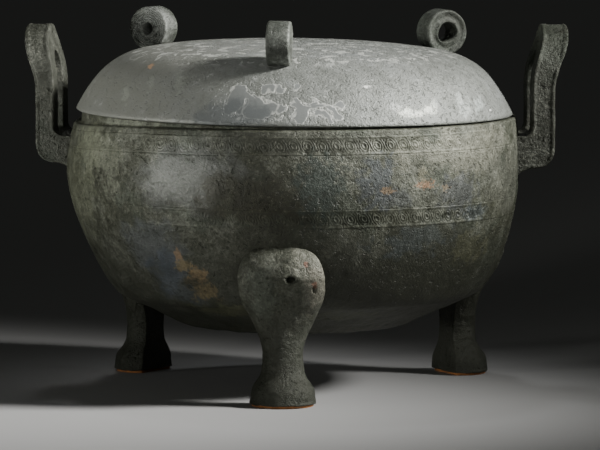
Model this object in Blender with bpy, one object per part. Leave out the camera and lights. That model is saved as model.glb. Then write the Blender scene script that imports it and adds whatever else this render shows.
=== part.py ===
"""Lidded bronze cauldron on three legs, with two standing handles and three disc knobs on its lid.

Metres, +Z up. The origin lies on the floor under the mouth's centre, and the front leg faces -Y.
"""
import math

import bmesh
import bpy
import numpy as np
from mathutils import Matrix, Vector

# Fits
TOUCH_GAP = 0.0003

# Bowl: radii step in from the belly, and heights go up from the floor or down from the shoulder
WALL = 0.004
BELLY_RADIUS = 0.166
SHOULDER_HEIGHT = 0.1973
BELLY_DROP = 0.0383
BELLY_HEIGHT = SHOULDER_HEIGHT - BELLY_DROP
FLAT_HEIGHT = 0.0440
SAG_RISE = 0.0072
SAG_HEIGHT = FLAT_HEIGHT + SAG_RISE
TURN_RISE = 0.0162
TURN_HEIGHT = SAG_HEIGHT + TURN_RISE
TURN_INSET = 0.0355
TURN_RADIUS = BELLY_RADIUS - TURN_INSET
SAG_INSET = 0.0355
SAG_RADIUS = TURN_RADIUS - SAG_INSET
FLAT_INSET = 0.045
FLAT_RADIUS = SAG_RADIUS - FLAT_INSET
EDGE_INSET = 0.0035
EDGE_RADIUS = BELLY_RADIUS - EDGE_INSET
EDGE_ROUND = 0.0028
EDGE_HEIGHT = SHOULDER_HEIGHT - EDGE_ROUND
SHIFT_NODE_HEIGHT = 0.125
SHIFT_LEFT = 0.0016
SHIFT_RIGHT = 0.0022

# Mouth: an inset lip, and the dent that lowers the shoulder beside the left handle
LIP_INSET = 0.0062
LIP_RADIUS = EDGE_RADIUS - LIP_INSET
LIP_THICKNESS = 0.005
DENT_DEPTH = 0.0040
DENT_AZIMUTH = -175.0
DENT_SPREAD = 30.0
DENT_REACH = 0.0473

# Relief bands round the bowl
BAND_HEIGHT = 0.0099
UPPER_BAND_DROP = 0.0160
UPPER_BAND_HEIGHT = SHOULDER_HEIGHT - UPPER_BAND_DROP
MIDDLE_BAND_DROP = 0.0295
MIDDLE_BAND_HEIGHT = BELLY_HEIGHT - MIDDLE_BAND_DROP
BAND_UNITS = 102
BAND_RELIEF = 0.0007
BAND_LINE = 0.0014

# Legs and feet
LEG_AZIMUTHS = {"front": -93.6, "right": 26.4, "left": 146.4}
LEG_RISE = 0.0486
LEG_TOP_HEIGHT = TURN_HEIGHT + LEG_RISE
LEG_INSET = 0.0395
LEG_INNER_RADIUS = BELLY_RADIUS - LEG_INSET
BULB_WIDTH = 0.0624
BULB_REACH = 0.0415
NECK_WIDTH = 0.0284
NECK_REACH = 0.0225
FOOT_WIDTH = 0.0478
FOOT_REACH = 0.0345
FOOT_BACK = 0.0025
FLAT_SHARE = 0.80
FRONT_SHARE = 0.36
PAD_THICKNESS = 0.0024
PAD_INSET = 0.0008

# A leg from its sole up: share of its height, half width, reach, and share of the back's step
LEG_SECTIONS = (
    (0.000, 0.500 * FOOT_WIDTH, 1.000 * FOOT_REACH, 1.00),
    (0.108, 0.480 * FOOT_WIDTH, 0.971 * FOOT_REACH, 0.70),
    (0.142, 0.425 * FOOT_WIDTH, 0.861 * FOOT_REACH, 0.55),
    (0.198, 0.535 * NECK_WIDTH, 1.089 * NECK_REACH, 0.25),
    (0.284, 0.500 * NECK_WIDTH, 1.000 * NECK_REACH, 0.00),
    (0.388, 0.550 * NECK_WIDTH, 1.022 * NECK_REACH, 0.00),
    (0.483, 0.328 * BULB_WIDTH, 1.124 * NECK_REACH, 0.00),
    (0.586, 0.420 * BULB_WIDTH, 0.699 * BULB_REACH, 0.00),
    (0.690, 0.485 * BULB_WIDTH, 0.908 * BULB_REACH, 0.00),
    (0.793, 0.500 * BULB_WIDTH, 1.000 * BULB_REACH, 0.00),
    (0.879, 0.463 * BULB_WIDTH, 0.947 * BULB_REACH, 0.00),
    (0.948, 0.368 * BULB_WIDTH, 0.836 * BULB_REACH, 0.00),
    (1.000, 0.150 * BULB_WIDTH, 0.687 * BULB_REACH, 0.00),
)

# Handles; each was shaped by hand, so the straps differ a little
HANDLE_AZIMUTHS = {"right": 3.0, "left": 174.0}
STRAP_GAP = {"right": 0.0055, "left": 0.0075}
STRAP_THICKNESS = {"right": 0.0168, "left": 0.0138}
STRAP_LEAN_INNER = {"right": 0.0085, "left": 0.0062}
STRAP_LEAN_OUTER = {"right": 0.0112, "left": 0.0100}
ARM_DROP = 0.0133
ARM_TOP = SHOULDER_HEIGHT - ARM_DROP
ARM_DEPTH = {"right": 0.0240, "left": 0.0205}
ARM_ROOT = 0.008
ELBOW = 0.0145
FILLET = 0.006
HANDLE_CORNER = 0.0042
HANDLE_WIDTH = 0.069
HANDLE_RISE = 0.0667
HANDLE_TOP = SHOULDER_HEIGHT + HANDLE_RISE
OPENING_WIDTH = 0.028
HEAD_DEPTH = 0.020
OPENING_TOP = HANDLE_TOP - HEAD_DEPTH
OPENING_STEP = 0.0025
OPENING_FOOT = ARM_TOP + OPENING_STEP

# Lid and knobs
LID_OVERHANG = 0.0039
LID_RADIUS = LIP_RADIUS + LID_OVERHANG
LID_LIFT = 0.0031
LID_HEIGHT = SHOULDER_HEIGHT + LID_LIFT
LID_RISE = 0.0528
LID_WALL = 0.0035
LID_TILT = 0.82
LID_TILT_AZIMUTH = -25.0
LID_RIM_ROUND = 0.0018
LID_RIM_THICKNESS = 0.0065
LID_RIM_HEIGHT = 0.004
CROWN_INSET = 0.0549
CROWN_RADIUS = LID_RADIUS - CROWN_INSET
CROWN_DROP = 0.0053
CROWN_POWER = 2.9
KNOB_AZIMUTHS = {"front": -95.5, "right": 27.8, "left": 150.0}
KNOB_RADII = {"front": 0.0160, "right": 0.0168, "left": 0.0160}
KNOB_THICKNESSES = {"front": 0.0166, "right": 0.0180, "left": 0.0178}
KNOB_HOLES = {"front": 0.0065, "right": 0.0146, "left": 0.0082}
KNOB_INSET = 0.0377
KNOB_CENTRE_RADIUS = LID_RADIUS - KNOB_INSET
KNOB_SINK = 0.0034
KNOB_CHAMFER = 0.0012

# Facets
BOWL_COLUMNS = 51
INSIDE_COLUMNS = 34
LID_COLUMNS = 54
LID_INSIDE_COLUMNS = 27
KNOB_SIDES = 16
LEG_ARC = 8
HANDLE_ARC = 16
OPENING_ARC = 10


def clear_scene():
    """Remove every object that the file opened with."""
    for obj in list(bpy.data.objects):
        bpy.data.objects.remove(obj, do_unlink=True)


def finish(name, colour, roughness, metallic):
    """A material with one colour."""
    material = bpy.data.materials.new(name)
    material.use_nodes = True
    shader = material.node_tree.nodes["Principled BSDF"]
    shader.inputs["Base Color"].default_value = (*colour, 1.0)
    shader.inputs["Roughness"].default_value = roughness
    shader.inputs["Metallic"].default_value = metallic
    return material


def bezier(start, pull_start, pull_end, end, steps):
    """Points of a cubic curve after its start, up to and with its end."""
    points = []
    for step in range(1, steps + 1):
        t = step / steps
        s = 1.0 - t
        weights = (s ** 3, 3 * s * s * t, 3 * s * t * t, t ** 3)
        corners = (start, pull_start, pull_end, end)
        points.append(tuple(sum(w * c[axis] for w, c in zip(weights, corners)) for axis in (0, 1)))
    return points


def smooth_step(low, high, value):
    """0 below low, 1 above high, and an even turn between them."""
    share = min(1.0, max(0.0, (value - low) / (high - low)))
    return share * share * (3.0 - 2.0 * share)


def skin(bm, first, second):
    """Faces between two closed rings, where one may have a whole multiple of the other's points."""
    if len(first) > len(second):
        for face in skin_rings(bm, second, first):
            face.normal_flip()
    else:
        skin_rings(bm, first, second)


def skin_rings(bm, coarse, fine):
    """Faces from a ring to one with as many points, or a multiple; both run anticlockwise."""
    faces = []
    count = len(coarse)
    ratio = len(fine) // count
    for index in range(count):
        here = coarse[index]
        after = coarse[(index + 1) % count]
        steps = [fine[(index * ratio + k) % len(fine)] for k in range(ratio + 1)]
        if ratio == 1:
            faces.append(bm.faces.new((here, after, steps[1], steps[0])))
            continue
        middle = ratio // 2
        for k in range(middle):
            faces.append(bm.faces.new((here, steps[k + 1], steps[k])))
        faces.append(bm.faces.new((here, after, steps[middle])))
        for k in range(middle, ratio):
            faces.append(bm.faces.new((after, steps[k + 1], steps[k])))
    return faces


def rings_to_mesh(name, stacks):
    """A mesh of closed bodies, each a stack of rings from its foot to its top, with both ends capped."""
    bm = bmesh.new()
    for rings in stacks:
        rows = [[bm.verts.new(point) for point in ring] for ring in rings]
        for lower, upper in zip(rows, rows[1:]):
            skin(bm, lower, upper)
        bm.faces.new(list(reversed(rows[0])))
        bm.faces.new(rows[-1])
    bmesh.ops.recalc_face_normals(bm, faces=bm.faces)
    mesh = bpy.data.meshes.new(name)
    bm.to_mesh(mesh)
    bm.free()
    return mesh


def add_object(name, mesh, material=None, parent=None):
    """Link an object; without a material it is a cutter or a guide."""
    obj = bpy.data.objects.new(name, mesh)
    bpy.context.scene.collection.objects.link(obj)
    obj.parent = parent
    if material is None:
        obj.hide_render = True
        obj.display_type = "WIRE"
    else:
        mesh.materials.append(material)
    return obj


def combine(obj, other, operation):
    """Add a Boolean step to an object."""
    step = obj.modifiers.new(other.name, "BOOLEAN")
    step.object = other
    step.operation = operation
    step.solver = "EXACT"


def outer_profile():
    """(radius, height) of the bowl's outside from its flat foot up to its shoulder's edge."""
    points = [(FLAT_RADIUS, FLAT_HEIGHT)]
    bend = (SAG_RADIUS - 0.3 * FLAT_INSET, FLAT_HEIGHT)
    points += bezier(points[0], bend, bend, (SAG_RADIUS, SAG_HEIGHT), 8)
    turn = (TURN_RADIUS, TURN_HEIGHT)
    belly = (BELLY_RADIUS, BELLY_HEIGHT)
    edge = (EDGE_RADIUS, EDGE_HEIGHT)
    side = BELLY_HEIGHT - TURN_HEIGHT
    neck = EDGE_HEIGHT - BELLY_HEIGHT
    pull = 0.144 * side
    turn_pull = (TURN_RADIUS + pull, TURN_HEIGHT + 1.25 * pull * TURN_RISE / SAG_INSET)
    belly_pull = (BELLY_RADIUS, BELLY_HEIGHT - 0.36 * side)
    neck_pull = (BELLY_RADIUS, BELLY_HEIGHT + 0.394 * neck)
    edge_pull = (EDGE_RADIUS + 0.57 * EDGE_INSET, EDGE_HEIGHT - 0.225 * neck)
    points.append(turn)
    points += bezier(turn, turn_pull, belly_pull, belly, 40)
    points += bezier(belly, neck_pull, edge_pull, edge, 20)
    return np.array(points)


OUTER = outer_profile()


def outer_radius(height):
    """The bowl's outside radius at a height."""
    return float(np.interp(height, OUTER[:, 1], OUTER[:, 0]))


def shift_at(height):
    """How far the hand-made bowl's sections wander to the right (+) or left (-)."""
    if height > SHIFT_NODE_HEIGHT:
        share = (height - SHIFT_NODE_HEIGHT) / (SHOULDER_HEIGHT - SHIFT_NODE_HEIGHT)
        return -SHIFT_LEFT * math.sin(math.pi * min(1.0, share))
    share = (SHIFT_NODE_HEIGHT - height) / (SHIFT_NODE_HEIGHT - FLAT_HEIGHT)
    return SHIFT_RIGHT * math.sin(math.pi * min(1.0, share))


def dent_at(azimuth_deg, height):
    """How far the shoulder sinks beside the left handle."""
    away = (azimuth_deg - DENT_AZIMUTH + 180.0) % 360.0 - 180.0
    share = smooth_step(SHOULDER_HEIGHT - DENT_REACH, SHOULDER_HEIGHT, height)
    return DENT_DEPTH * math.exp(-((away / DENT_SPREAD) ** 2)) * share


def bowl_point(radius, height, turn):
    """A point of the bowl at a share of a full turn, with the bowl's irregularities."""
    angle = 2.0 * math.pi * turn
    x = radius * math.cos(angle) + shift_at(height)
    return Vector((x, radius * math.sin(angle), height - dent_at(math.degrees(angle), height)))


def bowl_ring(radius, height, count):
    """A level ring of the bowl; the radius may be a function of the column."""
    at = radius if callable(radius) else (lambda column: radius)
    return [bowl_point(at(column), height, column / count) for column in range(count)]


def band_rings(foot):
    """A band of slanting scroll bosses, over a raised line and under a sunk one."""
    fine = 2 * BAND_UNITS
    top = foot + BAND_HEIGHT

    def boss(height, phase):
        base = outer_radius(height)
        return lambda column: base + (BAND_RELIEF if (column + phase) % 2 == 0 else -0.3 * BAND_RELIEF)

    third = BAND_HEIGHT / 3.0
    return [
        bowl_ring(outer_radius(foot - BAND_LINE), foot - BAND_LINE, BOWL_COLUMNS),
        bowl_ring(outer_radius(foot) + BAND_RELIEF, foot, fine),
        bowl_ring(boss(foot + third, 0), foot + third, fine),
        bowl_ring(boss(foot + 2.0 * third, 1), foot + 2.0 * third, fine),
        bowl_ring(outer_radius(top) - BAND_RELIEF, top, fine),
        bowl_ring(outer_radius(top + BAND_LINE), top + BAND_LINE, BOWL_COLUMNS),
    ]


def lid_placement():
    """The lid's frame: on the lip, a little askew."""
    azimuth = math.radians(LID_TILT_AZIMUTH)
    axis = Vector((-math.sin(azimuth), math.cos(azimuth), 0.0))
    tilt = Matrix.Rotation(math.radians(LID_TILT), 4, axis)
    return Matrix.Translation((0.0, 0.0, LID_HEIGHT)) @ tilt


def under_lid(point, gap):
    """The same point set down onto the plane of the lid's rim, with a gap."""
    normal = lid_placement().to_3x3() @ Vector((0.0, 0.0, 1.0))
    height = LID_HEIGHT - (normal.x * point.x + normal.y * point.y + gap) / normal.z
    return Vector((point.x, point.y, height))


def rungs(stops, steps):
    """Heights from the first stop to the last, with so many even steps between each two."""
    heights = [stops[0]]
    for low, high, count in zip(stops, stops[1:], steps):
        heights += [low + (high - low) * step / count for step in range(1, count + 1)]
    return heights


def bowl_outside():
    """The bowl's outside as a full solid, up to the top of its lip."""
    def plain(heights):
        return [bowl_ring(outer_radius(height), height, BOWL_COLUMNS) for height in heights]

    middle_foot = MIDDLE_BAND_HEIGHT - BAND_LINE
    middle_top = MIDDLE_BAND_HEIGHT + BAND_HEIGHT + BAND_LINE
    upper_foot = UPPER_BAND_HEIGHT - BAND_LINE
    rings = plain(rungs((FLAT_HEIGHT, SAG_HEIGHT, TURN_HEIGHT, middle_foot), (2, 2, 5))[:-1])
    rings += band_rings(MIDDLE_BAND_HEIGHT)
    rings += plain(rungs((middle_top, upper_foot), (3,))[1:-1])
    rings += band_rings(UPPER_BAND_HEIGHT)
    rings.append(bowl_ring(EDGE_RADIUS, EDGE_HEIGHT, BOWL_COLUMNS))
    edge_top = SHOULDER_HEIGHT - 0.25 * EDGE_ROUND
    rings.append(bowl_ring(EDGE_RADIUS - 0.64 * EDGE_ROUND, edge_top, BOWL_COLUMNS))
    lip_foot = bowl_ring(LIP_RADIUS, SHOULDER_HEIGHT, BOWL_COLUMNS)
    rings.append(lip_foot)
    rings.append([under_lid(point, TOUCH_GAP) for point in lip_foot])
    return rings


def bowl_inside():
    """The hollow of the bowl, one wall in from its outside, and out through the mouth."""
    mouth = LIP_RADIUS - LIP_THICKNESS
    throat = SHOULDER_HEIGHT - WALL
    slant = WALL * math.hypot(1.0, TURN_RISE / SAG_INSET)
    rings = [bowl_ring(FLAT_RADIUS, FLAT_HEIGHT + WALL, INSIDE_COLUMNS)]
    for radius, height in ((SAG_RADIUS, SAG_HEIGHT), (TURN_RADIUS, TURN_HEIGHT)):
        rings.append(bowl_ring(radius, height + slant, INSIDE_COLUMNS))
    for height in rungs((TURN_HEIGHT + slant, BELLY_HEIGHT, throat - WALL), (5, 2))[1:]:
        rings.append(bowl_ring(outer_radius(height) - WALL, height, INSIDE_COLUMNS))
    rings.append(bowl_ring(mouth, throat, INSIDE_COLUMNS))
    rings.append(bowl_ring(mouth, LID_HEIGHT + LID_RIM_HEIGHT, INSIDE_COLUMNS))
    return rings


def leg_rows():
    """(height, half width, reach, back's step inwards) up the leg, from the top of its pad."""
    sole = PAD_THICKNESS + TOUCH_GAP
    rows = []
    for share, half_width, reach, back_share in LEG_SECTIONS:
        rows.append((max(sole, share * LEG_TOP_HEIGHT), half_width, reach, back_share * FOOT_BACK))
    return rows


def leg_outline(half_width, reach, back_step, shrink=0.0):
    """(radius, sideways) round a section: a flat back towards the axis and a round front."""
    half = half_width - shrink
    back = LEG_INNER_RADIUS - back_step + shrink
    front = LEG_INNER_RADIUS - back_step + reach - shrink
    middle = back + FRONT_SHARE * (front - back)
    points = [(back, -FLAT_SHARE * half), (0.5 * (back + middle), -0.95 * half)]
    for step in range(LEG_ARC + 1):
        angle = math.pi * (step / LEG_ARC - 0.5)
        points.append((middle + (front - middle) * math.cos(angle), half * math.sin(angle)))
    points += [(0.5 * (back + middle), 0.95 * half), (back, FLAT_SHARE * half)]
    return points


def around(azimuth_deg, outline, height):
    """Carry an outline from (radius, sideways) to its azimuth."""
    turn = Matrix.Rotation(math.radians(azimuth_deg), 3, "Z")
    return [turn @ Vector((radius, side, height)) for radius, side in outline]


def leg_rings(azimuth_deg):
    """The stack of sections of one leg."""
    return [
        around(azimuth_deg, leg_outline(half, reach, back), height)
        for height, half, reach, back in leg_rows()
    ]


def pad_rings(azimuth_deg):
    """A thin pad under one foot, a little smaller than the sole."""
    _, half, reach, back = leg_rows()[0]
    edge = leg_outline(half, reach, back, PAD_INSET)
    return [around(azimuth_deg, edge, height) for height in (0.0, PAD_THICKNESS)]


def handle_side(name):
    """(radius, height) round a handle seen from the side: arm, elbow, strap and its outward lean."""
    inner = BELLY_RADIUS + STRAP_GAP[name]
    outer = inner + STRAP_THICKNESS[name]
    top_inner = inner + STRAP_LEAN_INNER[name]
    top_outer = outer + STRAP_LEAN_OUTER[name]
    foot = ARM_TOP - ARM_DEPTH[name]
    root = BELLY_RADIUS - ARM_ROOT
    half = 0.5 * HANDLE_WIDTH
    springing = HANDLE_TOP - half
    points = [(root, foot - 0.52 * ELBOW)]
    points += bezier(points[-1], (root + 0.41 * ELBOW, foot - 0.10 * ELBOW), (root + 0.76 * ELBOW, foot),
                     (outer - ELBOW, foot), 3)
    points += bezier(points[-1], (outer - 0.35 * ELBOW, foot), (outer, foot + 0.4 * ELBOW),
                     (outer, foot + 1.1 * ELBOW), 4)
    points.append((outer, springing - 0.41 * half))
    points += bezier(points[-1], (outer, springing + 0.12 * half), (top_outer, HANDLE_TOP - 0.58 * half),
                     (top_outer, HANDLE_TOP - HANDLE_CORNER), 6)
    points += bezier(points[-1], (top_outer, HANDLE_TOP), (top_outer, HANDLE_TOP),
                     (top_outer - HANDLE_CORNER, HANDLE_TOP), 3)
    points.append((top_inner + HANDLE_CORNER, HANDLE_TOP))
    points += bezier(points[-1], (top_inner, HANDLE_TOP), (top_inner, HANDLE_TOP),
                     (top_inner, HANDLE_TOP - HANDLE_CORNER), 3)
    points += bezier(points[-1], (top_inner, HANDLE_TOP - 0.46 * half), (inner, springing + 0.23 * half),
                     (inner, springing - 0.35 * half), 5)
    points.append((inner, ARM_TOP + FILLET))
    points += bezier(points[-1], (inner, ARM_TOP + FILLET / 3.0), (inner - FILLET / 3.0, ARM_TOP),
                     (inner - FILLET, ARM_TOP), 2)
    points += bezier(points[-1], (inner - 1.7 * FILLET, ARM_TOP),
                     (root + 0.67 * FILLET, ARM_TOP + FILLET / 3.0),
                     (root, ARM_TOP + FILLET), 2)
    return points


def arch(half_width, foot, top, steps):
    """(sideways, height) round an upright outline with a straight foot and a round head."""
    springing = top - half_width
    points = [(-half_width, foot), (half_width, foot)]
    for step in range(steps + 1):
        angle = math.pi * step / steps
        points.append((half_width * math.cos(angle), springing + half_width * math.sin(angle)))
    return points


def prism(outline, place, depth):
    """Two rings of an outline pushed from one depth to another, placed by a function."""
    return [[place(point, depth[0]) for point in outline], [place(point, depth[1]) for point in outline]]


def handle_parts(name):
    """The three prisms of a handle: its side shape, its front shape, and its opening."""
    turn = Matrix.Rotation(math.radians(HANDLE_AZIMUTHS[name]), 3, "Z")
    half = 0.5 * HANDLE_WIDTH
    strap = BELLY_RADIUS + STRAP_GAP[name]
    outermost = strap + STRAP_THICKNESS[name] + STRAP_LEAN_OUTER[name]
    reach = (BELLY_RADIUS - 1.5 * ARM_ROOT, outermost + WALL)

    def from_side(point, depth):
        return turn @ Vector((point[0], depth, point[1]))

    def from_front(point, depth):
        return turn @ Vector((depth, point[0], point[1]))

    side = prism(handle_side(name), from_side, (-half - WALL, half + WALL))
    arch_foot = ARM_TOP - ARM_DEPTH[name] - HEAD_DEPTH
    front = prism(arch(half, arch_foot, HANDLE_TOP, HANDLE_ARC), from_front, reach)
    hole = arch(0.5 * OPENING_WIDTH, OPENING_FOOT, OPENING_TOP, OPENING_ARC)
    opening = prism(hole, from_front, (strap - ARM_ROOT, reach[1] + WALL))
    return side, front, opening


def lid_height(radius):
    """Height of the lid's outside over its rim, from the crown's edge inwards."""
    return LID_RISE - CROWN_DROP * (radius / CROWN_RADIUS) ** CROWN_POWER


def lid_profile():
    """(radius, height) of the lid's outside from its rim to its crown."""
    slope = CROWN_POWER * CROWN_DROP / CROWN_RADIUS
    widest = (LID_RADIUS, LID_RIM_ROUND)
    crown = (CROWN_RADIUS, lid_height(CROWN_RADIUS))
    rim_pull = (LID_RADIUS - 0.224 * CROWN_INSET, 0.483 * LID_RISE)
    crown_pull = (CROWN_RADIUS + 0.559 * CROWN_INSET, crown[1] - 0.559 * CROWN_INSET * slope)
    points = [(LID_RADIUS - 0.9 * LID_RIM_ROUND, 0.0), widest]
    points += bezier(widest, rim_pull, crown_pull, crown, 6)
    points += [(share * CROWN_RADIUS, lid_height(share * CROWN_RADIUS)) for share in (0.81, 0.57, 0.285)]
    return points


def level_ring(radius, height, count):
    """A plain round ring."""
    angles = [2.0 * math.pi * column / count for column in range(count)]
    return [Vector((radius * math.cos(a), radius * math.sin(a), height)) for a in angles]


def lid_outside():
    """The lid's outside as a full solid."""
    return [level_ring(radius, height, LID_COLUMNS) for radius, height in lid_profile()]


def lid_inside():
    """The lid's hollow, one wall in, behind a thicker rim that rests on the lip."""
    mouth = LID_RADIUS - LID_RIM_THICKNESS
    points = [(mouth, -LID_RIM_HEIGHT), (mouth, LID_RIM_HEIGHT)]
    dome = np.array(lid_profile()[3:])
    for before, here, after in zip(dome, dome[1:], dome[2:]):
        along = after - before
        inward = np.array((-abs(along[1]), -abs(along[0]))) / np.hypot(*along)
        points.append(tuple(here + inward * LID_WALL))
    return [level_ring(radius, height, LID_INSIDE_COLUMNS) for radius, height in points]


def knob_rings(name):
    """A pierced upright disc in a radial plane, as rings round its own axle."""
    radii, heights = zip(*reversed(lid_profile()))
    surface = float(np.interp(KNOB_CENTRE_RADIUS, radii, heights))
    nearby = float(np.interp(KNOB_CENTRE_RADIUS + LID_WALL, radii, heights))
    slant = math.cos(math.atan2(surface - nearby, LID_WALL))
    rim = KNOB_RADII[name]
    half = 0.5 * KNOB_THICKNESSES[name]
    hole = 0.5 * KNOB_HOLES[name]
    centre = Vector((KNOB_CENTRE_RADIUS, 0.0, surface + (KNOB_RADII["front"] - KNOB_SINK) / slant))
    turn = Matrix.Rotation(math.radians(KNOB_AZIMUTHS[name]), 3, "Z")
    section = [
        (hole, -half), (rim - KNOB_CHAMFER, -half), (rim, KNOB_CHAMFER - half),
        (rim, half - KNOB_CHAMFER), (rim - KNOB_CHAMFER, half), (hole, half),
    ]
    rows = []
    for step in range(KNOB_SIDES):
        angle = 2.0 * math.pi * step / KNOB_SIDES
        spoke = Vector((math.cos(angle), 0.0, math.sin(angle)))
        rows.append([turn @ (centre + spoke * r + Vector((0.0, side, 0.0))) for r, side in section])
    return rows


def hoops_to_mesh(name, hoops):
    """A mesh of closed hoops, each a loop of sections whose last one joins its first."""
    bm = bmesh.new()
    for rows in hoops:
        verts = [[bm.verts.new(point) for point in row] for row in rows]
        for index in range(len(verts)):
            skin_rings(bm, verts[index], verts[(index + 1) % len(verts)])
    bmesh.ops.recalc_face_normals(bm, faces=bm.faces)
    mesh = bpy.data.meshes.new(name)
    bm.to_mesh(mesh)
    bm.free()
    return mesh


def shade(obj, angle_deg):
    """Smooth shading with sharp edges over an angle."""
    obj.data.shade_smooth()
    obj.data.set_sharp_from_angle(angle=math.radians(angle_deg))


def build_vessel():
    """Bowl, legs and handles, cast as one."""
    bronze = finish("vessel_bronze", (0.115, 0.120, 0.088), 0.62, 0.35)
    vessel = add_object("vessel", rings_to_mesh("vessel", [bowl_outside()]), bronze)
    shade(vessel, 40.0)
    legs = [leg_rings(azimuth) for azimuth in LEG_AZIMUTHS.values()]
    combine(vessel, add_object("leg_forms", rings_to_mesh("leg_forms", legs)), "UNION")
    sides, fronts, openings = zip(*(handle_parts(name) for name in HANDLE_AZIMUTHS))
    handles = add_object("handle_forms", rings_to_mesh("handle_forms", sides))
    combine(handles, add_object("handle_arches", rings_to_mesh("handle_arches", fronts)), "INTERSECT")
    combine(handles, add_object("handle_openings", rings_to_mesh("handle_openings", openings)), "DIFFERENCE")
    combine(vessel, handles, "UNION")
    hollow = add_object("bowl_hollow", rings_to_mesh("bowl_hollow", [bowl_inside()]))
    combine(vessel, hollow, "DIFFERENCE")
    return vessel


def build_lid():
    """The domed lid with its three disc knobs, cast as one."""
    bronze = finish("lid_bronze", (0.235, 0.250, 0.225), 0.48, 0.45)
    lid = add_object("lid", rings_to_mesh("lid", [lid_outside()]), bronze)
    lid.matrix_world = lid_placement()
    shade(lid, 40.0)
    knobs = [knob_rings(name) for name in KNOB_AZIMUTHS]
    combine(lid, add_object("knob_forms", hoops_to_mesh("knob_forms", knobs), parent=lid), "UNION")
    hollow = add_object("lid_hollow", rings_to_mesh("lid_hollow", [lid_inside()]), parent=lid)
    combine(lid, hollow, "DIFFERENCE")
    return lid


def build_pads():
    """The thin pads that the three feet stand on."""
    for side, azimuth in LEG_AZIMUTHS.items():
        tan = finish(f"{side}_pad_tan", (0.45, 0.24, 0.09), 0.8, 0.0)
        name = f"{side}_foot_pad"
        shade(add_object(name, rings_to_mesh(name, [pad_rings(azimuth)]), tan), 30.0)


def main():
    """Build the whole vessel."""
    clear_scene()
    build_vessel()
    build_lid()
    build_pads()


main()
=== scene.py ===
"""The looks of a lidded bronze cauldron: bowl, legs, handles, lid, knobs and foot pads, and their studio.

Metres, +Z up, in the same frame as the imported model. The front leg faces -Y.
"""
import logging
import math
from dataclasses import dataclass, field
from enum import Enum
from itertools import product
from typing import Callable, Sequence

import bpy
import numpy as np
from mathutils import Matrix, Vector


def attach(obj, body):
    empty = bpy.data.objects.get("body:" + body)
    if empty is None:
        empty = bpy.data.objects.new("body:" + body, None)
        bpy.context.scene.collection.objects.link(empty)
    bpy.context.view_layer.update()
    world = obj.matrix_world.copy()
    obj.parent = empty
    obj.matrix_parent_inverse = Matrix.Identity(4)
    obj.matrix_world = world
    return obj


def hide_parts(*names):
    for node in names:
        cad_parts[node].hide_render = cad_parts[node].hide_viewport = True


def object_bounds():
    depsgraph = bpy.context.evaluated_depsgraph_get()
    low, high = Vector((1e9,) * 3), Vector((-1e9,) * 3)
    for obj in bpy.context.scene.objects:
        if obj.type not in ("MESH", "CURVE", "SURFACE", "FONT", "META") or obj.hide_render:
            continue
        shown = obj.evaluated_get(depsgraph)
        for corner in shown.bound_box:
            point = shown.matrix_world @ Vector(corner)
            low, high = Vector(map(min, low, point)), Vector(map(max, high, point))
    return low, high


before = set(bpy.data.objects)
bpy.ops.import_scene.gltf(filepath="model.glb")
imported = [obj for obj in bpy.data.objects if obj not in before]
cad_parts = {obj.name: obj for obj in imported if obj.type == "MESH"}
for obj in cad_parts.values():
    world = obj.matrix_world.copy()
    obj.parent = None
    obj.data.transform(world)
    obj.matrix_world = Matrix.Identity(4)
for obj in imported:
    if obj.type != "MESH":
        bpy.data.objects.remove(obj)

LOG = logging.getLogger("cauldron")
TOUCH_GAP = 0.0003
BOX_LOW, BOX_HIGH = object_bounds()
FULL_TURN = 2.0 * math.pi
Point = tuple[float, float, float]
Colour = tuple[float, float, float]
Relief = Callable[[np.ndarray, np.ndarray, np.ndarray], np.ndarray]


class Side(Enum):
    """Where a leg, knob or handle stands on the vessel."""

    FRONT = "front"
    RIGHT = "right"
    LEFT = "left"


# Numbers and lines


def smooth_step(low: float, high: float, value: np.ndarray) -> np.ndarray:
    """Turn evenly from 0 to 1 between two values."""
    share = np.clip((value - low) / (high - low), 0.0, 1.0)
    return share * share * (3.0 - 2.0 * share)


def curve(start: Sequence[float], pull_start: Sequence[float], pull_end: Sequence[float],
          end: Sequence[float], steps: int) -> np.ndarray:
    """Points of a cubic curve.

    Args:
        start: First point.
        pull_start: The point that the curve leaves towards.
        pull_end: The point that it arrives from.
        end: Last point.
        steps: How many steps lie between the two ends.

    Returns:
        An array of steps + 1 points.
    """
    t = np.linspace(0.0, 1.0, steps + 1)[:, None]
    s = 1.0 - t
    a, b, c, d = (np.array(point, float) for point in (start, pull_start, pull_end, end))
    return s ** 3 * a + 3 * s * s * t * b + 3 * s * t * t * c + t ** 3 * d


def spread(points: np.ndarray, count: int) -> np.ndarray:
    """Set a number of points evenly along a line of corners, with both of its ends."""
    steps = np.hypot(*np.diff(points, axis=0).T)
    along = np.concatenate(([0.0], np.cumsum(steps)))
    wanted = np.linspace(0.0, along[-1], count)
    return np.stack([np.interp(wanted, along, points[:, axis]) for axis in range(points.shape[1])], axis=1)


def eased(table: Sequence[tuple[float, float]], heights: np.ndarray, ease: float) -> np.ndarray:
    """Read a table of rising heights and their values, with each corner rounded over a length."""
    rows = np.array(table)
    offsets = np.linspace(-2.0, 2.0, 17)
    weights = np.exp(-0.5 * offsets ** 2)
    weights /= weights.sum()
    total = np.zeros(len(heights))
    for offset, weight in zip(offsets, weights):
        total += weight * np.interp(heights + offset * ease, rows[:, 0], rows[:, 1])
    return total


def round_angles(count: int) -> np.ndarray:
    """Even angles round a full turn."""
    return np.linspace(0.0, FULL_TURN, count, endpoint=False)


def polar(radius: float | np.ndarray, azimuth: np.ndarray, height: float | np.ndarray) -> np.ndarray:
    """Points from radii, angles and heights."""
    return np.stack(np.broadcast_arrays(radius * np.cos(azimuth), radius * np.sin(azimuth), height), axis=1)


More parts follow.
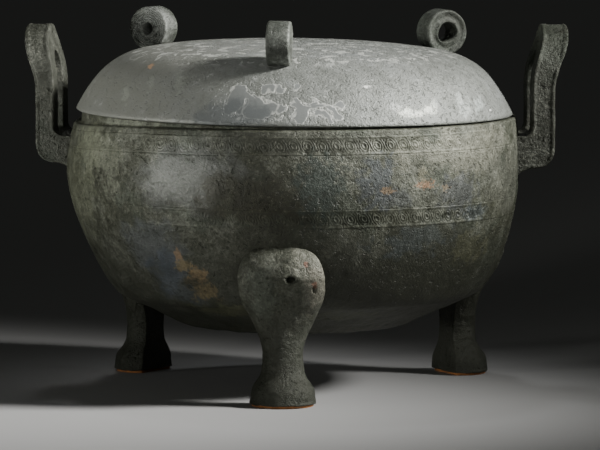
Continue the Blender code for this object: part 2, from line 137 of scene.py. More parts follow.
class Grain:
    """Seeded noise in space, the same on every run."""

    def __init__(self, seed: int) -> None:
        """Draw the lattice values from a seed."""
        drawn = np.random.default_rng(seed)
        self.values = drawn.uniform(-1.0, 1.0, 4096)

    def at(self, points: np.ndarray, size: float) -> np.ndarray:
        """Smooth noise with lumps of about one size.

        Args:
            points: Places, one a row.
            size: Width of a lump, in metres.

        Returns:
            A value from -1 to 1 for each place.
        """
        scaled = points / size
        cell = np.floor(scaled).astype(np.int64)
        part = scaled - cell
        weight = part * part * (3.0 - 2.0 * part)
        total = np.zeros(len(points))
        for corner in product((0, 1), repeat=3):
            place = cell + np.array(corner)
            index = (place[:, 0] * 73856093) ^ (place[:, 1] * 19349663) ^ (place[:, 2] * 83492791)
            share = np.prod(np.where(corner, weight, 1.0 - weight), axis=1)
            total += share * self.values[index % 4096]
        return total

    def layered(self, points: np.ndarray, size: float, layers: int) -> np.ndarray:
        """Noise from its largest lumps down, with finer and weaker layers on it."""
        total = np.zeros(len(points))
        for layer in range(layers):
            total += self.at(points + 0.37 * layer, size / 2 ** layer) / 2 ** layer
        return total


class Skin:
    """Rings of points and the faces between them, gathered for one mesh."""

    def __init__(self) -> None:
        """Start with nothing."""
        self.points: list[np.ndarray] = []
        self.faces: list[tuple[int, ...]] = []
        self.count = 0

    def ring(self, points: np.ndarray) -> list[int]:
        """Add a ring of points and give their numbers."""
        numbers = list(range(self.count, self.count + len(points)))
        self.points.append(np.asarray(points, float))
        self.count += len(points)
        return numbers

    def join(self, first: list[int], second: list[int]) -> None:
        """Lay faces between two closed rings, where one may have a whole multiple of the other's points.

        Args:
            first: The ring that comes first along the skin.
            second: The ring after it.
        """
        flip = len(first) > len(second)
        coarse, fine = (second, first) if flip else (first, second)
        ratio = len(fine) // len(coarse)
        middle = ratio // 2
        for index, here in enumerate(coarse):
            after = coarse[(index + 1) % len(coarse)]
            steps = [fine[(index * ratio + k) % len(fine)] for k in range(ratio + 1)]
            if ratio == 1:
                made = [(here, after, steps[1], steps[0])]
            else:
                made = [(here, steps[k + 1], steps[k]) for k in range(middle)]
                made.append((here, after, steps[middle]))
                made += [(after, steps[k + 1], steps[k]) for k in range(middle, ratio)]
            self.faces += [tuple(reversed(face)) for face in made] if flip else made

    def cap(self, ring: list[int], point: np.ndarray, last: bool) -> None:
        """Close a ring with a fan to one point, at the end of the skin or at its start."""
        centre = self.ring(np.array([point]))[0]
        for here, after in zip(ring, ring[1:] + ring[:1]):
            self.faces.append((here, after, centre) if last else (after, here, centre))

    def loft(self, rings: Sequence[np.ndarray],
             ends: tuple[Sequence[float], Sequence[float]] | None = None) -> None:
        """Lay a skin along rings.

        Args:
            rings: The rings, in order.
            ends: The points that close both ends, or None to lead the last ring back to the first.
        """
        numbers = [self.ring(ring) for ring in rings]
        for first, second in zip(numbers, numbers[1:]):
            self.join(first, second)
        if ends is None:
            self.join(numbers[-1], numbers[0])
        else:
            self.cap(numbers[0], np.array(ends[0]), last=False)
            self.cap(numbers[-1], np.array(ends[1]), last=True)

    def mesh(self, name: str) -> bpy.types.Mesh:
        """Make the mesh under a name."""
        made = bpy.data.meshes.new(name)
        made.from_pydata(np.concatenate(self.points).tolist(), [], self.faces)
        made.validate()
        made.update()
        return made


def read_points(mesh: bpy.types.Mesh) -> tuple[np.ndarray, np.ndarray]:
    """Places and normals of a mesh's points."""
    places = np.zeros(3 * len(mesh.vertices))
    normals = np.zeros(3 * len(mesh.vertices))
    mesh.vertices.foreach_get("co", places)
    mesh.vertices.foreach_get("normal", normals)
    return places.reshape(-1, 3), normals.reshape(-1, 3)


def write_points(mesh: bpy.types.Mesh, places: np.ndarray) -> None:
    """Set a mesh's points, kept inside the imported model's box."""
    low = np.array(BOX_LOW) + 0.00005
    high = np.array(BOX_HIGH) - 0.00005
    low[2] = BOX_LOW[2]
    mesh.vertices.foreach_set("co", np.clip(places, low, high).ravel())
    mesh.update()


def roughen(mesh: bpy.types.Mesh, relief: Callable[[np.ndarray, np.ndarray], np.ndarray]) -> None:
    """Push a mesh's points along their normals by a relief, which reads places and normals."""
    places, normals = read_points(mesh)
    write_points(mesh, places + normals * relief(places, normals)[:, None])


def add_piece(name: str, mesh: bpy.types.Mesh, node: str,
              material: bpy.types.Material) -> bpy.types.Object:
    """Link a finished piece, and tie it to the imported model.

    Args:
        name: The piece's name.
        mesh: Its mesh.
        node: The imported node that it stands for.
        material: Its finish.

    Returns:
        The new object.
    """
    write_points(mesh, read_points(mesh)[0])
    mesh.materials.clear()
    mesh.materials.append(material)
    mesh.shade_smooth()
    piece = bpy.data.objects.new(name, mesh)
    bpy.context.scene.collection.objects.link(piece)
    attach(piece, "root")
    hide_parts(node)
    LOG.info("%s: %d triangles", name, sum(len(face.vertices) - 2 for face in mesh.polygons))
    return piece


def settled(guides: Sequence[bpy.types.Object]) -> bpy.types.Mesh:
    """Take the first guide's mesh with its modifiers applied, and remove all the guides."""
    depsgraph = bpy.context.evaluated_depsgraph_get()
    mesh = bpy.data.meshes.new_from_object(guides[0].evaluated_get(depsgraph))
    for guide in guides:
        bpy.data.objects.remove(guide, do_unlink=True)
    return mesh


def azimuth_turn(azimuth_deg: float) -> np.ndarray:
    """A 3 x 3 turn about the upright axis."""
    return np.array(Matrix.Rotation(math.radians(azimuth_deg), 3, "Z"))


# Finishes


class Maths:
    """A number socket of a finish, which adds a Math node when Python works on it."""

    def __init__(self, graph: "Graph", socket: bpy.types.NodeSocket) -> None:
        """Wrap a socket."""
        self.graph = graph
        self.socket = socket

    def work(self, operation: str, *values: object) -> "Maths":
        """Add one Math node with these inputs, and wrap its result."""
        sockets = {index: value for index, value in enumerate(values)}
        return self.graph.value("ShaderNodeMath", {"operation": operation}, sockets)

    def __add__(self, other: object) -> "Maths":
        """Sum."""
        return self.work("ADD", self, other)

    __radd__ = __add__

    def __sub__(self, other: object) -> "Maths":
        """Difference."""
        return self.work("SUBTRACT", self, other)

    def __rsub__(self, other: object) -> "Maths":
        """Difference, from the other side."""
        return self.work("SUBTRACT", other, self)

    def __mul__(self, other: object) -> "Maths":
        """Product."""
        return self.work("MULTIPLY", self, other)

    __rmul__ = __mul__

    def __or__(self, other: object) -> "Maths":
        """The larger of the two."""
        return self.work("MAXIMUM", self, other)

    def turn(self, low: float, high: float) -> "Maths":
        """Turn evenly from 0 to 1 between two values, or from 1 to 0 where low is the larger."""
        flip = low > high
        settings = {"interpolation_type": "SMOOTHSTEP", "clamp": True}
        sockets = {"Value": self, "From Min": min(low, high), "From Max": max(low, high),
                   "To Min": float(flip), "To Max": float(not flip)}
        return self.graph.value("ShaderNodeMapRange", settings, sockets)


@dataclass(frozen=True)
class Patch:
    """A place with its own colour, such as a stain or a worn spot, or a patch of painted light or shade."""

    centre: Point
    radii: Point
    colour: Colour
    strength: float = 1.0
    ragged: float = 0.7
    grain: float = 60.0


class Graph:
    """The nodes of one finish."""

    def __init__(self, name: str) -> None:
        """Start a material with its own shader."""
        self.material = bpy.data.materials.new(name)
        self.material.use_nodes = True
        self.nodes = self.material.node_tree.nodes
        self.links = self.material.node_tree.links
        self.shader = self.nodes["Principled BSDF"]
        self.place = self.node("ShaderNodeTexCoord", {}, {}).outputs["Object"]

    def node(self, kind: str, settings: dict, sockets: dict) -> bpy.types.Node:
        """Add a node.

        Args:
            kind: The node's type.
            settings: Its properties; stops gives a ramp's (position, colour) pairs.
            sockets: Values or links for its inputs, by name or number.

        Returns:
            The node.
        """
        made = self.nodes.new(kind)
        for key, value in settings.items():
            if key == "stops":
                self.set_stops(made.color_ramp, value)
            else:
                setattr(made, key, value)
        for key, value in sockets.items():
            self.feed(made.inputs[key], value)
        return made

    def set_stops(self, ramp: bpy.types.ColorRamp, stops: Sequence[tuple[float, Colour]]) -> None:
        """Give a ramp its stops."""
        while len(ramp.elements) < len(stops):
            ramp.elements.new(0.5)
        for element, (position, colour) in zip(ramp.elements, stops):
            element.position = position
            element.color = (*colour, 1.0)

    def feed(self, socket: bpy.types.NodeSocket, value: object) -> None:
        """Link or set one input."""
        if isinstance(value, Maths):
            self.links.new(value.socket, socket)
        elif isinstance(value, bpy.types.NodeSocket):
            self.links.new(value, socket)
        elif socket.type == "RGBA" and len(value) == 3:
            socket.default_value = (*value, 1.0)
        else:
            socket.default_value = value

    def value(self, kind: str, settings: dict, sockets: dict, output: object = 0) -> Maths:
        """Add a node and wrap one of its number outputs."""
        return Maths(self, self.node(kind, settings, sockets).outputs[output])

    def set(self, name: str, value: object) -> None:
        """Feed one socket of the shader."""
        self.feed(self.shader.inputs[name], value)

    def noise(self, scale: float, detail: float = 4.0, rough: float = 0.55, warp: float = 0.0) -> Maths:
        """Layered noise from 0 to 1.

        Args:
            scale: Lumps in a metre.
            detail: How many finer layers it has.
            rough: How strong they are.
            warp: How far the noise is drawn out of shape.

        Returns:
            The noise.
        """
        sockets = {"Vector": self.place, "Scale": scale, "Detail": detail, "Roughness": rough,
                   "Distortion": warp}
        return self.value("ShaderNodeTexNoise", {"noise_dimensions": "3D"}, sockets)

    def vector(self, operation: str, *values: object) -> bpy.types.NodeSocket:
        """Add a Vector Math node and give its vector."""
        sockets = {index: value for index, value in enumerate(values)}
        return self.node("ShaderNodeVectorMath", {"operation": operation}, sockets).outputs["Vector"]

    def part(self, axis: str) -> Maths:
        """One coordinate of the place, X, Y or Z."""
        return self.value("ShaderNodeSeparateXYZ", {}, {0: self.place}, axis)

    def blend(self, share: object, first: object, second: object) -> bpy.types.NodeSocket:
        """Mix two colours by a share."""
        made = self.node("ShaderNodeMix", {"data_type": "RGBA", "clamp_factor": True}, {"Factor": share})
        self.feed(made.inputs[6], first)
        self.feed(made.inputs[7], second)
        return made.outputs[2]

    def ramp(self, share: Maths, stops: Sequence[tuple[float, Colour]]) -> bpy.types.NodeSocket:
        """Read a colour from stops by a share."""
        return self.node("ShaderNodeValToRGB", {"stops": stops}, {"Fac": share}).outputs["Color"]

    def patch(self, patch: Patch) -> Maths:
        """The mask of a patch, with its ragged edge."""
        away = self.vector("DIVIDE", self.vector("SUBTRACT", self.place, patch.centre), patch.radii)
        length = self.value("ShaderNodeVectorMath", {"operation": "LENGTH"}, {0: away}, "Value")
        edge = length + patch.ragged * (self.noise(patch.grain, 4.0, 0.6) - 0.5) * 2.0
        return edge.turn(1.15, 0.55) * patch.strength

    def masks(self, patches: Sequence[Patch]) -> Maths | float:
        """The largest of some patches' masks, or 0 where there are none."""
        largest: Maths | float = 0.0
        for index, patch in enumerate(patches):
            mask = self.patch(patch)
            largest = largest | mask if index else mask
        return largest

    def paint(self, colour: object, patches: Sequence[Patch]) -> object:
        """Lay patches over a colour, one after the other."""
        for patch in patches:
            colour = self.blend(self.patch(patch), colour, patch.colour)
        return colour

    def bump(self, height: Maths, distance: float) -> None:
        """Feed the shader's normal from a height from 0 to 1."""
        sockets = {"Height": height, "Distance": distance}
        self.set("Normal", self.node("ShaderNodeBump", {}, sockets).outputs["Normal"])


@dataclass(frozen=True)
class VesselBronze:
    """Dark olive and grey-green bronze: mottled, pitted and crusted, with stains and smoother spots, and
    painted shade that darkens it towards the bottom.
    """

    name: str = "vessel_bronze"
    dark: Colour = (0.024, 0.026, 0.017)
    olive: Colour = (0.070, 0.074, 0.048)
    grey: Colour = (0.135, 0.142, 0.112)
    pale: Colour = (0.270, 0.272, 0.212)
    green: Colour = (0.062, 0.080, 0.058)
    crust: float = 1.0
    # Heights of the painted shade: it starts at the first and is full below the second.
    painted_shade_from: float = 0.150
    painted_shade_full: float = 0.075
    stains: tuple[Patch, ...] = ()
    smooth: tuple[Patch, ...] = ()

    def make(self) -> bpy.types.Material:
        """Build the material."""
        graph = Graph(self.name)
        broad = graph.noise(17.0, 6.0, 0.66, 0.9)
        middle = graph.noise(85.0, 6.0, 0.70, 0.4)
        fine = graph.noise(460.0, 4.0, 0.74)
        grit = graph.noise(1150.0, 2.0, 0.6)
        tone = broad * 0.50 + middle * 0.34 + fine * 0.30 - 0.07
        colour = graph.ramp(tone, ((0.37, self.dark), (0.46, self.olive), (0.56, self.grey),
                                   (0.70, self.pale)))
        green = graph.noise(23.0, 5.0, 0.62, 0.6).turn(0.50, 0.62)
        colour = graph.blend(green * 0.40, colour, self.green)
        rough = 1.0 - graph.masks(self.smooth) * 0.62
        # Painted shade: darker towards the bottom, standing in for the shade under the bowl and on the lower
        # legs.
        low = graph.part("Z").turn(self.painted_shade_from, self.painted_shade_full)
        colour = graph.blend(low * 0.82, colour, graph.blend(0.90, colour, self.dark))
        colour = graph.paint(colour, self.stains)
        shade = (fine * 0.55 + middle * 0.45).turn(0.61, 0.41)
        colour = graph.blend(shade * 0.72 * rough, colour, graph.blend(0.80, colour, self.dark))
        glint = (fine * 0.5 + grit * 0.5).turn(0.55, 0.65) * middle.turn(0.46, 0.58)
        # Fewer pale specks down in the painted shade.
        colour = graph.blend(glint * 0.50 * (1.0 - low * 0.75), colour, self.pale)
        pits = graph.noise(270.0, 3.0, 0.6).turn(0.40, 0.32) * rough
        colour = graph.blend(pits * 0.55, colour, self.dark)
        graph.set("Base Color", colour)
        graph.set("Roughness", (0.32 + middle * 0.22 + fine * 0.22) * (0.46 + 0.54 * rough))
        graph.set("Metallic", 0.30)
        height = (middle * 0.46 + fine * 0.44 + grit * 0.16 - pits * 0.30) * (0.26 + 0.74 * rough)
        graph.bump(height, 0.0018 * self.crust)
        return graph.material


@dataclass(frozen=True)
class LidBronze:
    """Cool grey satin patina: smooth plates with bright edges over finely pitted ground, turning warmer and
    darker towards the left, partly as painted shade.
    """

    name: str = "lid_bronze"
    ground: Colour = (0.215, 0.226, 0.208)
    deep: Colour = (0.140, 0.148, 0.132)
    plate: Colour = (0.262, 0.276, 0.270)
    edge: Colour = (0.560, 0.570, 0.530)
    # Partly painted shade: the warmer, darker colour that the left of the lid is mixed towards.
    warm_and_shade: Colour = (0.188, 0.190, 0.158)
    plates_at: tuple[Patch, ...] = ()
    stains: tuple[Patch, ...] = ()

    def make(self) -> bpy.types.Material:
        """Build the material."""
        graph = Graph(self.name)
        broad = graph.noise(13.0, 5.0, 0.6, 0.5)
        middle = graph.noise(95.0, 5.0, 0.65)
        fine = graph.noise(560.0, 3.0, 0.7)
        islands = graph.noise(56.0, 2.5, 0.50, 1.5)
        sheets = islands * (0.52 + 0.68 * graph.masks(self.plates_at))
        plates = sheets.turn(0.500, 0.512)
        contour = sheets.turn(0.455, 0.500) * sheets.turn(0.570, 0.510)
        tone = broad * 0.45 + middle * 0.35 + fine * 0.20
        colour = graph.ramp(tone, ((0.38, self.deep), (0.50, self.ground), (0.64, self.plate)))
        # Partly painted shade: the left of the lid, on the side the light leaves in shade, is mixed towards a
        # warmer, darker colour.
        warm_and_shade = graph.part("X").turn(-0.020, -0.120)
        colour = graph.blend(warm_and_shade * 0.60, colour, self.warm_and_shade)
        scabs = graph.noise(105.0, 3.0, 0.60, 0.8).turn(0.560, 0.585) * graph.part("Z").turn(0.2385, 0.2440)
        colour = graph.blend(scabs * 0.75, colour, self.edge)
        flecks = (fine * 0.35 + middle * 0.65).turn(0.57, 0.66) * graph.noise(30.0, 3.0, 0.6).turn(0.46, 0.60)
        colour = graph.blend(flecks * 0.50, colour, self.edge)
        holes = graph.noise(330.0, 3.0, 0.62).turn(0.44, 0.34) * (1.0 - plates)
        colour = graph.blend(holes * 0.45, colour, self.deep)
        colour = graph.blend(plates * 0.70, colour, self.plate)
        colour = graph.blend(contour * 0.85, colour, self.edge)
        colour = graph.paint(colour, self.stains)
        graph.set("Base Color", colour)
        graph.set("Roughness", 0.40 + fine * 0.16 + middle * 0.12 - plates * 0.12)
        graph.set("Metallic", 0.30)
        calm = graph.part("X").turn(-0.045, -0.110) * 0.62
        pitted = (1.0 - plates * 0.85) * (1.0 - calm) * (fine * 0.62 + middle * 0.40 - holes * 0.45)
        graph.bump(pitted + plates * 0.48 + broad * 0.2, 0.0013)
        return graph.material


@dataclass(frozen=True)
class PadTan:
    """Orange-tan matt pad, darker where it has been handled."""

    name: str = "pad_tan"
    light: Colour = (0.50, 0.20, 0.060)
    worn: Colour = (0.16, 0.075, 0.032)

    def make(self) -> bpy.types.Material:
        """Build the material."""
        graph = Graph(self.name)
        fibres = graph.noise(900.0, 4.0, 0.7)
        blotch = graph.noise(120.0, 4.0, 0.6)
        tone = fibres * 0.35 + blotch * 0.65
        graph.set("Base Color", graph.ramp(tone, ((0.36, self.worn), (0.60, self.light))))
        graph.set("Roughness", 0.70 + fibres * 0.25)
        graph.bump(fibres, 0.0003)
        return graph.material


@dataclass(frozen=True)
class FloorPaper:
    """Plain pale studio floor."""

    name: str = "studio_floor"
    tone: Colour = (0.48, 0.48, 0.475)

    def make(self) -> bpy.types.Material:
        """Build the material."""
        graph = Graph(self.name)
        graph.set("Base Color", self.tone)
        graph.set("Roughness", 0.85)
        return graph.material


# The vessel


@dataclass
class Bowl:
    """The hollow bowl with its relief bands and its inset lip."""

    wall: float = 0.004
    belly_radius: float = 0.166
    shoulder_height: float = 0.1973
    belly_height: float = 0.1590
    flat_height: float = 0.0440
    flat_radius: float = 0.050
    sag_radius: float = 0.095
    sag_height: float = 0.0512
    turn_radius: float = 0.1305
    turn_height: float = 0.0674
    edge_radius: float = 0.1625
    edge_height: float = 0.1945
    shift_node: float = 0.125
    shift_left: float = 0.0016
    shift_right: float = 0.0022
    lip_radius: float = 0.1563
    lip_thickness: float = 0.005
    dent_depth: float = 0.0040
    dent_azimuth: float = -175.0
    dent_spread: float = 30.0
    dent_reach: float = 0.0473
    band_height: float = 0.0099
    band_feet: tuple[float, float] = (0.1813, 0.1295)
    band_let: float = 0.0016
    band_edge: float = 0.0003
    lid_height: float = 0.2004
    lid_tilt: float = 0.82
    lid_tilt_azimuth: float = -25.0
    columns: int = 459
    grain: Grain = field(default_factory=lambda: Grain(11))

    def __post_init__(self) -> None:
        """Work out the outline once."""
        flat = (self.flat_radius, self.flat_height)
        sag = (self.sag_radius, self.sag_height)
        turn = (self.turn_radius, self.turn_height)
        belly = (self.belly_radius, self.belly_height)
        edge = (self.edge_radius, self.edge_height)
        bend = (self.sag_radius - 0.3 * (self.sag_radius - self.flat_radius), self.flat_height)
        side = self.belly_height - self.turn_height
        neck = self.edge_height - self.belly_height
        pull = 0.144 * side
        slope = (self.turn_height - self.sag_height) / (self.turn_radius - self.sag_radius)
        turn_pull = (self.turn_radius + pull, self.turn_height + 1.25 * pull * slope)
        belly_pull = (self.belly_radius, self.belly_height - 0.36 * side)
        neck_pull = (self.belly_radius, self.belly_height + 0.394 * neck)
        edge_pull = (self.edge_radius + 0.57 * (self.belly_radius - self.edge_radius),
                     self.edge_height - 0.225 * neck)
        self.outline = np.concatenate([
            curve(flat, bend, bend, sag, 24), curve(turn, turn_pull, belly_pull, belly, 60),
            curve(belly, neck_pull, edge_pull, edge, 24)[1:],
        ])

    def radius(self, height: np.ndarray) -> np.ndarray:
        """The outside radius at a height."""
        return np.interp(height, self.outline[:, 1], self.outline[:, 0])

    def shift(self, height: np.ndarray) -> np.ndarray:
        """How far the bowl's sections wander to the right (+) or left (-)."""
        up = np.clip((height - self.shift_node) / (self.shoulder_height - self.shift_node), 0.0, 1.0)
        down = np.clip((self.shift_node - height) / (self.shift_node - self.flat_height), 0.0, 1.0)
        return self.shift_right * np.sin(math.pi * down) - self.shift_left * np.sin(math.pi * up)

    def dent(self, azimuth: np.ndarray, height: np.ndarray) -> np.ndarray:
        """How far the shoulder sinks beside the left handle."""
        away = (np.degrees(azimuth) - self.dent_azimuth + 180.0) % 360.0 - 180.0
        share = smooth_step(self.shoulder_height - self.dent_reach, self.shoulder_height, height)
        return self.dent_depth * np.exp(-((away / self.dent_spread) ** 2)) * share

    def lid_plane(self, places: np.ndarray, gap: float) -> np.ndarray:
        """Height of the lid's rim plane over places, less a gap."""
        lean = math.radians(self.lid_tilt)
        towards = math.radians(self.lid_tilt_azimuth)
        normal = (math.sin(lean) * math.cos(towards), math.sin(lean) * math.sin(towards), math.cos(lean))
        return self.lid_height - (normal[0] * places[:, 0] + normal[1] * places[:, 1] + gap) / normal[2]

    def cast(self, places: np.ndarray, azimuth: np.ndarray, height: np.ndarray) -> np.ndarray:
        """Relief of the plain cast: lumps, crust and pits, rougher at the right front.

        Args:
            places: Points of the plain surface.
            azimuth: Their angles, in radians.
            height: Their heights.

        Returns:
            The push out, in metres.
        """
        rough_side = smooth_step(-2.0, -1.4, azimuth) * smooth_step(1.4, 0.4, azimuth)
        push = 0.00026 * self.grain.at(places, 0.034) + 0.00016 * self.grain.at(places, 0.013)
        crust = self.grain.layered(places, 0.0075, 2)
        push += (0.00006 + 0.00014 * rough_side) * crust
        pits = smooth_step(0.38, 0.80, self.grain.at(places + 0.5, 0.0062))
        push -= (0.00010 + 0.00026 * rough_side) * pits
        push += 0.00050 * smooth_step(0.080, 0.055, height) * self.grain.layered(places + 3.9, 0.011, 3)
        step_up = smooth_step(0.0, 0.0012, azimuth * self.belly_radius + 0.0988)
        step_up *= smooth_step(0.006, 0.0, azimuth * self.belly_radius + 0.0988)
        seam = smooth_step(0.1265, 0.1290, height) * smooth_step(0.1420, 0.1400, height)
        return push + 0.0005 * step_up * seam

    def relief(self, places: np.ndarray, azimuth: np.ndarray, height: np.ndarray) -> np.ndarray:
        """The cast, let in where the relief bands lie."""
        push = self.cast(places, azimuth, height)
        for foot in self.band_feet:
            top = foot + self.band_height
            low = smooth_step(foot - self.band_let, foot - self.band_edge, height)
            push -= 0.0016 * low * smooth_step(top + self.band_let, top + self.band_edge, height)
        return push

    def build(self) -> bpy.types.Mesh:
        """Make the bowl as one closed skin, outside, lip and hollow."""
        rows = [(radius, self.flat_height, count) for radius, count in ((0.012, 51), (0.036, 153))]
        rows += [(r, z, self.columns) for r, z in spread(self.outline[:25], 24)]
        heights = [z for _, z in spread(self.outline[24:], 110)[1:]]
        for foot in self.band_feet:
            for gap in (self.band_let, self.band_edge):
                heights += [foot - gap, min(foot + self.band_height + gap, self.edge_height)]
        rows += [(float(self.radius(z)), z, self.columns) for z in sorted(set(heights))]
        top = self.shoulder_height
        shoulder = curve((self.edge_radius, self.edge_height), (self.edge_radius, top - 0.0008),
                         (self.edge_radius - 0.0006, top), (self.edge_radius - 0.0024, top), 4)[1:]
        rows += [(r, z, self.columns) for r, z in shoulder]
        rows.append((self.lip_radius + 0.0006, top, self.columns))
        outside = [self.points(np.full(count, radius), height, round_angles(count), self.relief)
                   for radius, height, count in rows]
        skin = Skin()
        skin.loft(outside + self.lip_rings() + self.hollow_rings(),
                  ((0.0, 0.0, self.flat_height), (0.0, 0.0, self.flat_height + self.wall)))
        return skin.mesh("bowl")

    def points(self, radius: np.ndarray, height: float, azimuth: np.ndarray,
               relief: Relief | None) -> np.ndarray:
        """A ring of the bowl.

        Args:
            radius: A radius for each point.
            height: The ring's height.
            azimuth: An angle for each point, in radians.
            relief: Gives the push out of the outside's points, or None for a plain ring.

        Returns:
            The ring's points.
        """
        level = np.full(len(azimuth), height)
        plain = polar(radius, azimuth, level)
        if relief is not None:
            turned = (azimuth + math.pi) % FULL_TURN - math.pi
            step = 0.0004
            rise = float(self.radius(height + step) - self.radius(height - step)) / (2.0 * step)
            rise = min(max(rise, -3.0), 3.0)
            out = 1.0 / math.hypot(1.0, rise)
            flat = height <= self.flat_height + 1e-6
            push = relief(plain, turned, level)
            radius = radius + (0.0 if flat else out) * push
            plain = polar(radius, azimuth, level - (1.0 if flat else rise * out) * push)
        plain[:, 0] += self.shift(level)
        plain[:, 2] -= self.dent(azimuth, level)
        return plain

    def lip_rings(self) -> list[np.ndarray]:
        """Rings up the lip to the lid, with eased edges, and down its inside."""
        azimuth = round_angles(self.columns)
        inner = self.lip_radius - self.lip_thickness
        rings = []
        for radius, share, drop in ((self.lip_radius, 0.3, 0.0), (self.lip_radius, 1.0, 0.0007),
                                    (self.lip_radius - 0.0007, 1.0, 0.0), (inner + 0.0007, 1.0, 0.0),
                                    (inner, 1.0, 0.0007)):
            ring = self.points(np.full(self.columns, radius), self.shoulder_height, azimuth, None)
            top = self.lid_plane(ring, TOUCH_GAP) - drop
            ring[:, 2] += share * (top - ring[:, 2])
            rings.append(ring)
        return rings

    def hollow_rings(self) -> list[np.ndarray]:
        """Rings of the hollow, one wall in from the outside."""
        count = self.columns // 3
        azimuth = round_angles(count)
        inner = self.lip_radius - self.lip_thickness
        throat = self.shoulder_height - self.wall
        slant = self.wall * math.hypot(1.0, 0.456)
        rows = [(inner, throat)]
        for height in np.linspace(throat - self.wall, self.turn_height + 1.8 * self.wall, 14):
            rows.append((float(self.radius(height)) - self.wall, height))
        rows += [(self.turn_radius - 0.0004, self.turn_height + slant),
                 (self.sag_radius, self.sag_height + slant),
                 (self.flat_radius, self.flat_height + self.wall)]
        return [self.points(np.full(count, radius), height, azimuth, None) for radius, height in rows]


@dataclass
class Band:
    """A sunk relief band round the bowl: eyes in nested slanting curls, worn away in places."""

    name: str
    bowl: Bowl
    foot: float
    clear: tuple[float, float]
    units: int = 102
    samples: int = 24
    rows: int = 27
    depth: float = 0.00034
    sunk: float = 0.00036
    line_pitch: float = 0.00150
    slant: float = 38.0
    margin: float = 0.0022
    lift: float = 0.00006

    def scroll(self, azimuth: np.ndarray, height: np.ndarray) -> np.ndarray:
        """Relief of the eyes and their curls, in shares of the depth.

        Args:
            azimuth: Angles round the bowl, in radians.
            height: Heights.

        Returns:
            The relief, mostly from -1 to 1.
        """
        tall = self.bowl.band_height
        unit = FULL_TURN * self.bowl.belly_radius / self.units
        up = height - self.foot - 0.5 * tall
        across = ((azimuth / FULL_TURN * self.units) % 1.0 - 0.5) * unit
        slant = math.radians(self.slant)
        first = across * math.cos(slant) + up * math.sin(slant)
        second = up * math.cos(slant) - across * math.sin(slant)
        away = np.hypot(first, 0.66 * second)
        lines = np.cos(FULL_TURN * away / self.line_pitch) * smooth_step(0.0004, 0.0012, away)
        share = (height - self.foot) / tall
        inside = smooth_step(0.04, 0.14, share) * smooth_step(0.96, 0.86, share)
        return (lines - 1.5 * np.exp(-((away / 0.0008) ** 2))) * inside

    def relief(self, places: np.ndarray, azimuth: np.ndarray, height: np.ndarray) -> np.ndarray:
        """The cast with the worn band sunk in it, let in at both edges."""
        bowl = self.bowl
        low, high = self.foot - self.margin, self.foot + bowl.band_height + self.margin
        clear = smooth_step(self.clear[0] - 9.0, self.clear[0], np.degrees(azimuth))
        clear *= smooth_step(self.clear[1] + 1.5, self.clear[1], np.degrees(azimuth))
        worn = smooth_step(-0.50, 0.30, bowl.grain.layered(places + 1.3, 0.030, 2))
        kept = 0.22 + 0.30 * worn + 0.48 * clear * (0.45 + 0.55 * worn)
        steps = smooth_step(self.foot - 0.0003, self.foot + 0.0003, height)
        top = self.foot + bowl.band_height
        steps *= smooth_step(top + 0.0003, top - 0.0003, height)
        push = bowl.cast(places, azimuth, height) + self.lift
        push += kept * (self.depth * self.scroll(azimuth, height) - self.sunk * steps)
        shown = smooth_step(low, low + 0.0005, height) * smooth_step(high, high - 0.0005, height)
        return push - 0.0012 * (1.0 - shown)

    def build(self) -> bpy.types.Mesh:
        """Make the band as one closed strip, let into the bowl's wall."""
        bowl = self.bowl
        fine, coarse = round_angles(self.units * self.samples), round_angles(4 * self.units)
        heights = np.linspace(self.foot - self.margin, self.foot + bowl.band_height + self.margin, self.rows)
        rings = [bowl.points(np.full(len(fine), float(bowl.radius(z))), z, fine, self.relief)
                 for z in heights]
        rings += [bowl.points(np.full(len(coarse), float(bowl.radius(z)) - 0.6 * bowl.wall), z, coarse, None)
                  for z in (heights[-1], heights[0])]
        skin = Skin()
        skin.loft(rings)
        return skin.mesh(self.name)


